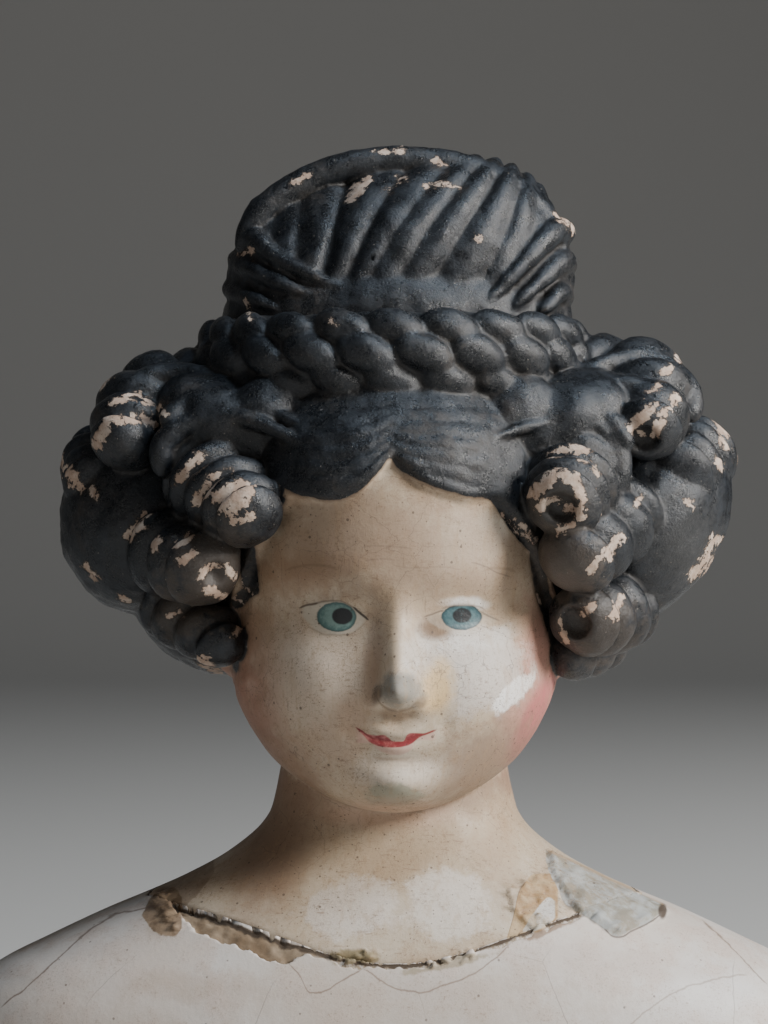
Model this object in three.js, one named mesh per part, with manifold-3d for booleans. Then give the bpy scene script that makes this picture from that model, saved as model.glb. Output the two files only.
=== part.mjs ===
// A papier-mache doll bust with moulded hair: a shoulder head whose yoke sits in a recess of the torso,
// which is cut flat below the shoulders. Millimetres, +Z up, the face looks along -Y, +X is the viewer's
// right, and the origin is the middle of the underside.

import * as THREE from "three";
import { mergeVertices } from "three/addons/utils/BufferGeometryUtils.js";
import Module from "manifold-3d";

const wasm = await Module();
wasm.setup();

// Driving dimensions, in millimetres.
const FIGURE_HEIGHT = 217; // underside to the top of the hair knot
const SHOULDER_WIDTH = 208; // across the cut upper arms
const CHEST_DEPTH = 84; // breast to shoulder blades
const NECK_WIDTH = 53;
const NECK_DEPTH = 46;
const YOKE_WIDTH = 110; // the yoke that the neck ends in, side to side
const YOKE_DEPTH = 76; // and front to back
const JOINT_GAP = 0.3; // all round the yoke, where the head is set in the torso

// The carving is written in parts of the figure's own height, which is 217 parts.
const PART = FIGURE_HEIGHT / 217;
const SEAT_HEIGHT = 30 * PART; // floor of the recess, above the underside
const NECK_TOP = 95 * PART; // where the neck ends inside the head

// Fineness of the faceted surfaces.
const TORSO_SIDES = 36; // a multiple of 4, so that the outermost facets reach the full width and depth
const HEAD_SIDES = 36;
const HEAD_RINGS = 30;
const CURL_SIDES = 7;
const FACETS_PER_TURN = 3;
const SWELLING_SIDES = 9;
const SWELLING_RINGS = 6;
const ROLL_SIDES = 6;
const ROLL_RINGS = 6;
const FACETS_PER_BUMP = 2;
const FRONT_CROWDING = 0.45; // share by which the head's facets crowd towards the face

// Small helpers

const vec = ([x, y, z]) => new THREE.Vector3(x, y, z).multiplyScalar(PART);
const mix = THREE.MathUtils.lerp;
const ease = THREE.MathUtils.smoothstep;

// A bell of height 1 round zero, which has faded to 1/e at one width.
const bell = (offset, width) => Math.exp(-((offset / width) ** 2));

// The row of a table at a fractional place t from 0 to 1, on a smooth curve through its rows.
function rowAt(rows, t) {
  const place = THREE.MathUtils.clamp(t, 0, 1) * (rows.length - 1);
  const i = Math.min(Math.floor(place), rows.length - 2);
  const f = place - i;
  const [before, from, to, after] = [i - 1, i, i + 1, i + 2].map(
    (k) => rows[THREE.MathUtils.clamp(k, 0, rows.length - 1)],
  );
  return from.map((p, column) => {
    const slopeFrom = (to[column] - before[column]) / 2;
    const slopeTo = (after[column] - p) / 2;
    const a = 2 * p - 2 * to[column] + slopeFrom + slopeTo;
    const b = -3 * p + 3 * to[column] - 2 * slopeFrom - slopeTo;
    return ((a * f + b) * f + slopeFrom) * f + p;
  });
}

// The second column of a table whose first column rises, at a value of the first.
function lookUp(rows, value) {
  const last = rows.length - 1;
  const i = THREE.MathUtils.clamp(rows.findIndex((row) => row[0] > value), 1, last);
  const [x0, y0] = rows[i - 1];
  const [x1, y1] = rows[i];
  return mix(y0, y1, THREE.MathUtils.clamp((value - x0) / (x1 - x0), 0, 1));
}

// A closed three.js geometry as a solid that can be joined and cut.
function solid(geometry) {
  const bare = geometry.index ? geometry.toNonIndexed() : geometry.clone();
  bare.deleteAttribute("normal");
  bare.deleteAttribute("uv");
  const merged = mergeVertices(bare, 1e-3);
  return new wasm.Manifold(
    new wasm.Mesh({
      numProp: 3,
      vertProperties: new Float32Array(merged.getAttribute("position").array),
      triVerts: new Uint32Array(merged.index.array),
    }),
  );
}

// What a joined solid shows outside: the hollows that its overlapping pieces seal in are filled.
function outerSkin(shape) {
  const skins = shape.decompose();
  return skins.reduce((largest, skin) => (skin.volume() > largest.volume() ? skin : largest));
}

// A solid as a three.js geometry.
function geometryOf(shape) {
  const mesh = shape.getMesh();
  const places = new Float32Array(mesh.numVert * 3);
  for (let i = 0; i < mesh.numVert; i++) {
    places.set(mesh.vertProperties.subarray(i * mesh.numProp, i * mesh.numProp + 3), i * 3);
  }
  const geometry = new THREE.BufferGeometry();
  geometry.setAttribute("position", new THREE.BufferAttribute(places, 3));
  geometry.setIndex(new THREE.BufferAttribute(new Uint32Array(mesh.triVerts), 1));
  geometry.computeVertexNormals();
  return geometry;
}

// A sphere whose points are moved to place(along, round): along runs from 0 at the first pole to 1 at the
// other, and round is the angle about the way from pole to pole.
function mappedSphere(sides, rings, place) {
  const geometry = new THREE.SphereGeometry(1, sides, rings).rotateX(Math.PI / 2);
  const position = geometry.getAttribute("position");
  const point = new THREE.Vector3();
  for (let i = 0; i < position.count; i++) {
    point.fromBufferAttribute(position, i);
    const along = Math.acos(THREE.MathUtils.clamp(point.z, -1, 1)) / Math.PI;
    const pole = along < 1e-4 || along > 1 - 1e-4;
    const moved = place(along, pole ? 0 : Math.atan2(point.x, -point.y));
    position.setXYZ(i, moved.x, moved.y, moved.z);
  }
  return geometry;
}

// A lock of hair: a tapering tube along a curve with rounded ends. radiusAt gives its radius in parts.
const SECTION_UP = [0.12, 0.25, 1]; // the top of each section, a way in which no lock runs
function lock(points, radiusAt, sides, rings, lean = 0) {
  const curve = new THREE.CatmullRomCurve3(points.map(vec));
  const upright = new THREE.Vector3(...SECTION_UP).normalize();
  return solid(
    mappedSphere(sides, rings, (along, round) => {
      const centre = curve.getPointAt(along);
      const way = curve.getTangentAt(along);
      const out = upright.clone().addScaledVector(way, -upright.dot(way)).normalize();
      const across = out.clone().cross(way);
      const radius = radiusAt(along) * PART;
      return centre
        .addScaledVector(out, radius * Math.cos(round))
        .addScaledVector(across, radius * Math.sin(round))
        .addScaledVector(way, lean * radius * Math.cos(round));
    }),
  );
}

// A rounded end: the radius falls to nothing over the first or last share of the length.
const roundedEnds = (along, share) =>
  Math.sqrt(Math.max(0, 1 - Math.max(0, 1 - along / share, 1 - (1 - along) / share) ** 2));

// A plain roll of hair from one radius to another.
const ROLL_END = 0.17; // share of its length over which each end rounds off
const roll = (points, from, to) =>
  lock(points, (along) => mix(from, to, along) * roundedEnds(along, ROLL_END), ROLL_SIDES, ROLL_RINGS);

// A sausage curl: a tapering stack of turns, each a rounded ring, which ends in a knob.
const RING_DEPTH = 0.2; // depth of the valley between two turns, as a share of the radius
const RING_LEAN = 0.18; // how far a turn leans along the curl from its foot to its top, as a share too
const KNOB_TURNS = 0.7; // the last stretch, without a valley
function ringlet({ root, tip, from, to, turns, bow = [0, 0, 0] }) {
  const middle = root.map((value, axis) => (value + tip[axis]) / 2 + bow[axis]);
  const radiusAt = (along) => {
    const ring = Math.abs(Math.sin(Math.PI * turns * along));
    const valley = along * turns > turns - KNOB_TURNS ? 0 : RING_DEPTH * (1 - ring);
    return mix(from, to, along) * (1 - valley) * roundedEnds(along, 1 / turns);
  };
  return lock([root, middle, tip], radiusAt, CURL_SIDES, turns * FACETS_PER_TURN, RING_LEAN);
}

// A plain swelling: an ellipsoid turned about the line of sight.
function swelling({ centre, half, tilt }) {
  const geometry = new THREE.SphereGeometry(1, SWELLING_SIDES, SWELLING_RINGS).scale(...half);
  geometry.rotateY(THREE.MathUtils.degToRad(tilt)).scale(PART, PART, PART);
  return solid(geometry.translate(...vec(centre)));
}

// The neck and shoulders, level by level: height in parts, then how far the level has spread from the neck
// (0) to the shoulders (1), sideways and front to back.
const BODY_LEVELS = [
  [0, 1, 1],
  [14, 0.99, 1.05],
  [25, 0.929, 1],
  [32, 0.819, 0.92],
  [37.3, 0.685, 0.82],
  [43.4, 0.517, 0.67],
  [48, 0.374, 0.54],
  [51.8, 0.265, 0.43],
  [57, 0.145, 0.26],
  [64, 0.04, 0.1],
  [72, 0, 0],
  [NECK_TOP / PART, -0.05, -0.05],
];
const BODY_SQUARENESS = 2.3; // 2 is an ellipse, more is squarer

function bodyForm() {
  const geometry = new THREE.CylinderGeometry(1, 1, 1, TORSO_SIDES, BODY_LEVELS.length - 1);
  geometry.rotateX(Math.PI / 2);
  const position = geometry.getAttribute("position");
  for (let i = 0; i < position.count; i++) {
    const [x, y, z] = [position.getX(i), position.getY(i), position.getZ(i)];
    const [height, spread, fullness] = rowAt(BODY_LEVELS, z + 0.5);
    const halfWidth = mix(NECK_WIDTH, SHOULDER_WIDTH, spread) / 2;
    const halfDepth = mix(NECK_DEPTH, CHEST_DEPTH, fullness) / 2;
    const reach = Math.abs(x) ** BODY_SQUARENESS + Math.abs(y) ** BODY_SQUARENESS;
    const bulge = reach ? Math.hypot(x, y) / reach ** (1 / BODY_SQUARENESS) : 0;
    position.setXYZ(i, x * halfWidth * bulge, y * halfDepth * bulge, height * PART);
  }
  return solid(geometry);
}

// The elliptic block, seat upwards, that parts the yoke from the torso.
function yokeBlock(clearance) {
  const top = NECK_TOP + 2 * clearance;
  const bottom = SEAT_HEIGHT + (clearance ? 0 : JOINT_GAP);
  const geometry = new THREE.CylinderGeometry(1, 1, top - bottom, TORSO_SIDES).rotateX(Math.PI / 2);
  geometry.scale(YOKE_WIDTH / 2 + clearance, YOKE_DEPTH / 2 + clearance, 1);
  return solid(geometry.translate(0, 0, (top + bottom) / 2));
}

// The bare head, ring by ring from crown to throat, in parts: height in front, height behind, half width,
// how far forward and how far back.
const HEAD_LEVELS = [
  [173, 173, 0.5, -2, 4],
  [169, 169, 22, 22, 27],
  [157, 157, 33, 35.5, 39],
  [144, 144, 37, 41.8, 43.3],
  [132, 132, 37.8, 43.8, 44.2],
  [121, 122, 37.6, 43, 43.5],
  [112, 114, 37.2, 41.2, 41],
  [104, 107, 37, 41.8, 37],
  [97, 102, 36.8, 42.4, 33],
  [90.5, 98, 35.6, 42.6, 30],
  [84.5, 95, 33.6, 42, 28],
  [79, 92, 31, 40.3, 26],
  [74.5, 89, 27.8, 37.6, 24],
  [71, 86, 23, 33.4, 20],
  [69, 80, 15, 27, 12],
  [70, 74, 0.5, 18, -17],
];

// How far the face stands forward of the bare head at a place of the face, in parts. Each soft form has its
// distance out from the middle of the face, its height, its half width and half height, and its relief.
const FACE_MIDDLE = 0.5;
const FACE_FORMS = [
  [13.3, 111.7, 8.5, 6, -2.2], // eye sockets
  [13.3, 111.7, 5.5, 3.6, 1.5], // eyeballs
  [12, 121.5, 12, 5, 0.9], // brows
  [19, 97, 10, 10, 2.1], // cheeks
  [0, 89, 7, 2, 1.9], // upper lip
  [0, 84.7, 7, 2, 1.9], // lower lip
  [0, 81.2, 8, 2, -1.1], // crease under the lips
  [0, 75.5, 8, 5.5, 3], // chin
];
const NOSE = { relief: 11.5, root: 119, tip: 97, underside: 91, rootWidth: 3.9, tipWidth: 5.6 };
const FACE_EDGE = [0.15, 0.75]; // the relief fades out between these shares of facing forward
function faceRelief(x, z) {
  const side = Math.abs(x - FACE_MIDDLE);
  const up = ease(z, NOSE.tip, NOSE.root);
  const rise = z > NOSE.tip ? 1 - up : ease(z, NOSE.underside, NOSE.tip);
  let relief = NOSE.relief * rise * bell(side, mix(NOSE.tipWidth, NOSE.rootWidth, up));
  for (const [out, height, wide, tall, forward] of FACE_FORMS) {
    relief += forward * bell(side - out, wide) * bell(z - height, tall);
  }
  return relief;
}

// Height of the lower edge of the hair at an angle from the middle of the face, in degrees and parts.
const HAIRLINE = [
  [0, 145.5],
  [10, 139.5],
  [22, 136.5],
  [34, 137],
  [42, 133],
  [55, 122],
  [70, 108],
  [90, 98],
  [120, 93],
  [180, 92],
];
const HAIR_THICKNESS = 2.2;
const HAIR_EDGE = 2; // half the height over which the hair rises to that thickness
const HAIR_WINGS = { relief: 1.6, out: 15, height: 148, wide: 11, tall: 8 }; // either side of the parting
const CROWN_REACH = 12; // the hair adds its full thickness only further out than this from the crown's middle

function headForm() {
  return solid(
    mappedSphere(HEAD_SIDES, HEAD_RINGS, (along, round) => {
      const angle = round - FRONT_CROWDING * Math.sin(round);
      const [front, back, halfWidth, forward, behind] = rowAt(HEAD_LEVELS, along);
      const facing = Math.cos(angle);
      const z = mix(back, front, (1 + facing) / 2);
      let x = halfWidth * Math.sin(angle);
      let y = (behind - forward) / 2 - ((behind + forward) / 2) * facing;
      y -= faceRelief(x, z) * ease(facing, ...FACE_EDGE);
      const line = lookUp(HAIRLINE, Math.abs(THREE.MathUtils.radToDeg(angle)));
      const cover = ease(z, line - HAIR_EDGE, line + HAIR_EDGE);
      const { relief, out, height, wide, tall } = HAIR_WINGS;
      const wing = relief * bell(Math.abs(x) - out, wide) * bell(z - height, tall);
      const thickness = HAIR_THICKNESS + wing * ease(facing, ...FACE_EDGE);
      const swell = 1 + (thickness * cover) / Math.max(CROWN_REACH, Math.hypot(x, y));
      return vec([x * swell, y * swell, z]);
    }),
  );
}

// The curls at each temple, in parts: where each is rooted and where its knob points.
const CURLS = [
  // viewer's left
  { root: [-42, -16, 143.5], tip: [-29, -43, 131], from: 13, to: 7.4, turns: 6 },
  { root: [-35, 7, 156], tip: [-60, -24, 146], from: 15, to: 7, turns: 6, bow: [-7, 5, 7] },
  { root: [-66, 12, 147], tip: [-66, -10, 138], from: 11.5, to: 8, turns: 4 },
  { root: [-55, -6, 128], tip: [-38, -36, 120.5], from: 11.5, to: 9.2, turns: 4 },
  { root: [-51, -4, 115], tip: [-35, -25, 102.5], from: 11, to: 5, turns: 4 },
  // viewer's right
  { root: [41, -15, 143], tip: [34.8, -44, 134.5], from: 14, to: 7.4, turns: 6 },
  { root: [36, 8, 159], tip: [54, -28, 149], from: 16, to: 7.2, turns: 6, bow: [10, 7, 7] },
  { root: [70, 9, 148], tip: [61, -16, 141], from: 11.5, to: 8, turns: 4 },
  { root: [54, -12, 137], tip: [35.5, -40, 121], from: 10, to: 9.4, turns: 4 },
  { root: [53, -2, 113], tip: [38.5, -31, 110], from: 10.5, to: 8.6, turns: 4 },
  { root: [49, 0, 105], tip: [37, -20, 98.5], from: 9, to: 5, turns: 3 },
];

// The smooth hair behind the curls, from the coronet down over the ears.
const SIDE_HAIR = [
  { centre: [-56, 10, 132], half: [21, 21, 22], tilt: 15 },
  { centre: [-44, 10, 114], half: [20, 18, 14], tilt: 42 },
  { centre: [58, 10, 130], half: [23, 22, 25], tilt: -15 },
  { centre: [46, 10, 112], half: [22, 18, 14], tilt: -42 },
];

// The coronet: a plait laid round the crown, whose strands stand out as staggered rows of bumps.
const PLAIT = {
  height: 167,
  halfWidth: 38.5,
  halfDepth: 32,
  back: 6,
  thickness: 6.5,
  rise: 9,
  bumps: 18,
  relief: 1.5,
  rows: 3,
};
function coronet() {
  const { height, halfWidth, halfDepth, back, thickness, rise, bumps, relief, rows } = PLAIT;
  const geometry = new THREE.TorusGeometry(1, 0.3, rows * 2, bumps * FACETS_PER_BUMP);
  const position = geometry.getAttribute("position");
  for (let i = 0; i < position.count; i++) {
    const [x, y, z] = [position.getX(i), position.getY(i), position.getZ(i)];
    const way = Math.atan2(y, x);
    const section = Math.atan2(z, Math.hypot(x, y) - 1);
    const bump = Math.cos(bumps * way) * Math.cos(rows * section);
    const out = Math.cos(section) * (thickness + relief * bump);
    const up = Math.sin(section) * (rise + relief * bump);
    const [across, behind] = [(halfWidth + out) * Math.cos(way), back + (halfDepth + out) * Math.sin(way)];
    const place = vec([across, behind, height + up]);
    position.setXYZ(i, place.x, place.y, place.z);
  }
  return solid(geometry);
}

// The knot on the crown: a broad loop of hair whose strands lean as they run up its front and over, under a
// roll along its top and rolls that wrap its two sides.
const KNOT = { centre: [1.5, 4, 187], half: [40, 25, 29], strands: 18, relief: 0.09, lean: 0.3, sides: 11 };
const RIM_ROLL = { radius: 4.6, proud: 1.2, from: 155, to: 25, steps: 4 }; // from and to in degrees
const SIDE_ROLLS = [
  { points: [[-32, -3, 198], [-31, -14, 191], [-24, -22, 185], [-10, -27, 179]], from: 6.5, to: 3.5 },
  { points: [[35, -3, 197], [33, -13, 192], [28, -19, 186], [18, -24, 181]], from: 6, to: 3.5 },
  { points: [[36.5, 0, 187], [35, -10, 182], [28, -18, 178]], from: 5.5, to: 3.5 },
];
function knot() {
  const { centre, half, strands, relief, lean, sides } = KNOT;
  const loop = mappedSphere(sides, strands * 2, (along, round) => {
    const valley = relief * (1 - Math.abs(Math.sin(Math.PI * strands * along)));
    const reach = Math.sin(Math.PI * along) * (1 - valley);
    const rise = reach * Math.cos(round);
    const side = -Math.cos(Math.PI * along);
    const across = side + lean * rise * (1 - side * side);
    return vec([
      centre[0] + half[0] * across,
      centre[1] + half[1] * reach * Math.sin(round),
      centre[2] + half[2] * rise,
    ]);
  });
  const { radius, proud, from, to, steps } = RIM_ROLL;
  const rim = Array.from({ length: steps + 1 }, (_, i) => {
    const angle = THREE.MathUtils.degToRad(mix(from, to, i / steps));
    const reach = half.map((size) => size - radius + proud);
    return [centre[0] + reach[0] * Math.cos(angle), centre[1], centre[2] + reach[2] * Math.sin(angle)];
  });
  const sideRolls = SIDE_ROLLS.map((side) => roll(side.points, side.from, side.to));
  return [solid(loop), roll(rim, radius, radius), ...sideRolls];
}

// The head with its hair, neck and yoke, which were pressed in one piece.
function buildHead(body) {
  const hair = [...CURLS.map(ringlet), ...SIDE_HAIR.map(swelling), coronet(), ...knot()];
  const neck = body.intersect(yokeBlock(0));
  return outerSkin(hair.reduce((whole, piece) => whole.add(piece), headForm().add(neck)));
}

// The torso: the shoulders and chest below the yoke.
const buildTorso = (body) => body.subtract(yokeBlock(JOINT_GAP));

const body = bodyForm();
const flesh = new THREE.MeshStandardMaterial({ color: 0xcdb49c, roughness: 0.55, metalness: 0 });
const kid = new THREE.MeshStandardMaterial({ color: 0xcbbcb0, roughness: 0.7, metalness: 0 });

const head = new THREE.Mesh(geometryOf(buildHead(body)), flesh);
head.name = "head";
const torso = new THREE.Mesh(geometryOf(buildTorso(body)), kid);
torso.name = "torso";

const bust = new THREE.Group();
bust.add(torso, head);
const box = new THREE.Box3().setFromObject(bust);
bust.position.y = -(box.min.y + box.max.y) / 2;

export default bust;
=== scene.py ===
"""Finishes a papier-mache doll bust: the head with its moulded hair, and the torso that it is set in."""

import logging
import math
from dataclasses import dataclass, field
from enum import Enum
from typing import Callable

import bmesh
import bpy
import numpy as np
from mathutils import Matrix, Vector, noise
from mathutils.bvhtree import BVHTree


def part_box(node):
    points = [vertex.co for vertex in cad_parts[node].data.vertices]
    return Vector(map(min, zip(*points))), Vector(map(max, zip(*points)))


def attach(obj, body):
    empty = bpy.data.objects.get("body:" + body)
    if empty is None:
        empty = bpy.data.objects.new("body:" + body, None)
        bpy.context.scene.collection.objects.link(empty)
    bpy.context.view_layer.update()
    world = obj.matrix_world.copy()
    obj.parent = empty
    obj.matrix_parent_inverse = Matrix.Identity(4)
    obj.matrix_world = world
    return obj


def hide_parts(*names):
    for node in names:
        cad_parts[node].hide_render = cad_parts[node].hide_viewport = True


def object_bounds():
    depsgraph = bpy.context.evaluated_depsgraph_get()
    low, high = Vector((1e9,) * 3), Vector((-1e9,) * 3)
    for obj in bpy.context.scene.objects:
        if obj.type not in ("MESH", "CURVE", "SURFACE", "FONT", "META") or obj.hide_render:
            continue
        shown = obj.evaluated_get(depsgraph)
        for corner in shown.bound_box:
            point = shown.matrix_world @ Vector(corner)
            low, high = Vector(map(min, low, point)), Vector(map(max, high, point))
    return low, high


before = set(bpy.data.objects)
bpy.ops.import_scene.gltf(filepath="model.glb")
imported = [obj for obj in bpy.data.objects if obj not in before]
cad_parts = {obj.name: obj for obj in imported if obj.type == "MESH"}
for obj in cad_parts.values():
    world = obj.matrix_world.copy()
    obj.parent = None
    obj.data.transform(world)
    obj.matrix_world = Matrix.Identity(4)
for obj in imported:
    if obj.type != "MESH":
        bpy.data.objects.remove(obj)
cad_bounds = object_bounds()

log = logging.getLogger("doll_bust")

Points = np.ndarray
Row = tuple[float, ...]
Table = tuple[Row, ...]

DESIGN_HEIGHT = 217.0  # the carving is written in parts of the figure's height
FULL_TURN = 2 * math.pi
WELD = 1e-6  # points nearer to each other than this, in metres, are one


class Zone(Enum):
    """What covers a place on the head: flesh paint, hair paint, or the edge between them."""

    FLESH = 0
    HAIR = 1
    EDGE = 2


@dataclass(frozen=True)
class Layout:
    """Where the carving, written in parts, lies in the frame, in metres.

    Args:
        unit: length of one part.
        shift: how far behind the frame's middle the neck's axis stands.
    """

    unit: float
    shift: float

    @classmethod
    def from_frame(cls) -> "Layout":
        """Reads the unit from the whole height, and the shift from the torso's place."""
        low, high = cad_bounds
        torso_low, torso_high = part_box("torso")
        return cls(unit=(high[2] - low[2]) / DESIGN_HEIGHT, shift=(torso_low[1] + torso_high[1]) / 2)

    def to_frame(self, parts: Points) -> Points:
        """Turns places in parts into places in metres.

        Args:
            parts: rows of X, Y and Z in parts.

        Returns:
            The same rows in metres, in the frame.
        """
        return parts * self.unit + np.array((0.0, self.shift, 0.0))

    def to_parts(self, metres: Points) -> Points:
        """Turns places in metres back into parts.

        Args:
            metres: rows of X, Y and Z in the frame.

        Returns:
            The same rows in parts.
        """
        return (metres - np.array((0.0, self.shift, 0.0))) / self.unit


@dataclass(frozen=True)
class FrontView:
    """The flat view in which the painting is laid out: the figure seen from in front, in picture points.

    Args:
        eye: place that the figure is seen from, in parts. It looks along +Y.
        reach: picture points that one part takes at a distance of one part.
        middle: picture point straight ahead of the eye.
    """

    eye: tuple[float, float, float] = (-2.3, -620.0, 134.0)
    reach: float = 2738.1
    middle: tuple[float, float] = (384.0, 512.0)

    def points(self, parts: Points) -> tuple[Points, Points]:
        """Gives the picture points that places are seen at.

        Args:
            parts: rows of X, Y and Z in parts.

        Returns:
            The points across and the points down.
        """
        scale = self.reach / (parts[:, 1] - self.eye[1])
        across = self.middle[0] + (parts[:, 0] - self.eye[0]) * scale
        down = self.middle[1] - (parts[:, 2] - self.eye[2]) * scale
        return across, down


LAYOUT = Layout.from_frame()
VIEW = FrontView()


def ease(value: Points, low: float, high: float) -> Points:
    """Rises smoothly from 0 at low to 1 at high, or falls where low is above high.

    Args:
        value: where to read the curve.
        low: value at which it is 0.
        high: value at which it is 1.

    Returns:
        Numbers from 0 to 1.
    """
    share = np.clip((value - low) / (high - low), 0.0, 1.0)
    return share * share * (3.0 - 2.0 * share)


def bell(offset: Points, width: float) -> Points:
    """A bell of height 1 round zero, which has faded to 1/e at one width."""
    return np.exp(-((offset / width) ** 2))


def row_at(rows: Table, place: Points) -> Points:
    """Reads a table at fractional places, on a smooth curve through its rows.

    Args:
        rows: the table.
        place: places from 0, its first row, to 1, its last.

    Returns:
        One row of values for each place.
    """
    table = np.array(rows)
    spot = np.clip(place, 0.0, 1.0) * (len(table) - 1)
    index = np.minimum(spot.astype(int), len(table) - 2)
    share = (spot - index)[:, None]
    last = len(table) - 1
    before, start, end, after = (table[np.clip(index + step, 0, last)] for step in (-1, 0, 1, 2))
    slope_start = (end - before) / 2
    slope_end = (after - start) / 2
    cubic = 2 * start - 2 * end + slope_start + slope_end
    square = -3 * start + 3 * end - 2 * slope_start - slope_end
    return ((cubic * share + square) * share + slope_start) * share + start


def look_up(rows: Table, value: Points) -> Points:
    """Reads the second column of a table at values of its rising first column."""
    table = np.array(rows)
    return np.interp(value, table[:, 0], table[:, 1])


def rounded_ends(along: Points, share: float) -> Points:
    """Falls from 1 to 0, as a circle does, over the first and last share of a length from 0 to 1."""
    short = np.maximum(0.0, np.maximum(1 - along / share, 1 - (1 - along) / share))
    return np.sqrt(np.maximum(0.0, 1 - short**2))


@dataclass
class Curve:
    """A smooth curve through a few points, read by its own length.

    Args:
        points: the places that it runs through, in parts.
    """

    points: Table
    samples: int = 240

    def __post_init__(self) -> None:
        """Lays the curve out once, finely."""
        self.places = row_at(self.points, np.linspace(0.0, 1.0, self.samples))
        steps = np.linalg.norm(np.diff(self.places, axis=0), axis=1)
        self.lengths = np.concatenate(((0.0,), np.cumsum(steps)))
        self.lengths /= self.lengths[-1]
        ways = np.gradient(self.places, axis=0)
        self.ways = ways / np.linalg.norm(ways, axis=1)[:, None]

    def at(self, along: Points) -> tuple[Points, Points]:
        """Gives the curve's places and directions.

        Args:
            along: shares of the length, from 0 to 1.

        Returns:
            The places, and unit directions there.
        """
        place = np.stack([np.interp(along, self.lengths, self.places[:, axis]) for axis in range(3)], axis=1)
        way = np.stack([np.interp(along, self.lengths, self.ways[:, axis]) for axis in range(3)], axis=1)
        return place, way / np.linalg.norm(way, axis=1)[:, None]


class Clay:
    """Closed forms that overlap, before they are blended into one skin."""

    def __init__(self) -> None:
        """Starts with nothing."""
        self.mesh = bmesh.new()

    def add(self, sides: int, rings: int, place: Callable[[Points, Points], Points]) -> None:
        """Adds a sheet that is closed round and drawn together at both ends.

        Args:
            sides: facets round it.
            rings: facets from one end to the other.
            place: takes how far along each point is, from 0 at the first end to 1 at the other, and its
                angle round, and gives its place in parts.
        """
        form = bmesh.new()
        bmesh.ops.create_grid(form, x_segments=sides, y_segments=rings, size=1.0)
        sheet = bpy.data.meshes.new("form")
        form.to_mesh(sheet)
        form.free()
        flat = read_points(sheet)
        along = (flat[:, 1] + 1) / 2
        pole = (along < 1e-6) | (along > 1 - 1e-6)
        around = np.where(pole, 0.0, flat[:, 0] * math.pi)
        write_points(sheet, LAYOUT.to_frame(place(along, around)))
        form = bmesh.new()
        form.from_mesh(sheet)
        bmesh.ops.remove_doubles(form, verts=form.verts, dist=WELD)
        bmesh.ops.recalc_face_normals(form, faces=form.faces)
        form.to_mesh(sheet)
        form.free()
        self.mesh.from_mesh(sheet)
        bpy.data.meshes.remove(sheet)

    def lock(self, curve: Curve, radius_at: Callable[[Points], Points], sides: int, rings: int,
             lean: float = 0.0, sink: Callable[[Points, Points], Points] | None = None) -> None:
        """Adds a lock of hair: a tapering tube along a curve.

        Args:
            curve: its middle line.
            radius_at: its radius, in parts, at shares of its length.
            sides: facets round it.
            rings: facets along it.
            lean: how far each section leans along the lock, as a share of its radius.
            sink: how far back along the lock a point lies, from its share of the length and its radius.
        """
        upright = np.array((0.12, 0.25, 1.0))
        upright /= np.linalg.norm(upright)

        def place(along: Points, around: Points) -> Points:
            centre, way = curve.at(along)
            out = upright - way * (way @ upright)[:, None]
            out /= np.linalg.norm(out, axis=1)[:, None]
            across = np.cross(out, way)
            radius = radius_at(along)
            forward = lean * radius * np.cos(around)
            if sink is not None:
                forward = forward - sink(along, radius)
            spot = centre + out * (radius * np.cos(around))[:, None]
            return spot + across * (radius * np.sin(around))[:, None] + way * forward[:, None]

        self.add(sides, rings, place)


def plain_radius(start: float, end: float, share: float = 0.14) -> Callable[[Points], Points]:
    """The radius of a plain roll, from one size to another, with rounded ends."""
    return lambda along: (start + (end - start) * along) * rounded_ends(along, share)


@dataclass(frozen=True)
class Ringlet:
    """A sausage curl: a tapering stack of turns, each a rounded ring, which ends in a knob.

    Args:
        root: where it grows out of the hair.
        tip: where its knob points.
        start: radius at the root.
        end: radius of the knob.
        turns: number of rings.
        bow: how far its middle stands off the straight line.
        hole: radius of the hollow in the end of the knob.
    """

    root: Row
    tip: Row
    start: float
    end: float
    turns: int
    bow: Row = (0.0, 0.0, 0.0)
    hole: float = 0.0

    valley: float = 0.27
    lean: float = 0.18
    knob: float = 0.8

    def shape(self, clay: Clay) -> None:
        """Adds the curl to the clay."""
        middle = tuple((a + b) / 2 + c for a, b, c in zip(self.root, self.tip, self.bow))

        def radius_at(along: Points) -> Points:
            ring = np.abs(np.sin(math.pi * self.turns * along)) ** 0.65
            groove = np.where(along * self.turns > self.turns - self.knob, 0.0, self.valley * (1 - ring))
            size = self.start + (self.end - self.start) * along
            return size * (1 - groove) * rounded_ends(along, 1 / self.turns)

        def sink(along: Points, radius: Points) -> Points:
            return np.where(along > 0.5, self.hole * ease(radius, self.hole, self.hole * 0.35), 0.0)

        curve = Curve((self.root, middle, self.tip))
        clay.lock(curve, radius_at, 56, self.turns * 18, self.lean, sink if self.hole else None)


@dataclass(frozen=True)
class Wave:
    """A long strand that is half sunk in the hair under it.

    Args:
        points: its middle line.
        start: radius at the first point.
        end: radius at the last.
    """

    points: Table
    start: float
    end: float

    def shape(self, clay: Clay) -> None:
        """Adds the strand to the clay."""
        clay.lock(Curve(self.points), plain_radius(self.start, self.end), 24, 60)


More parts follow.
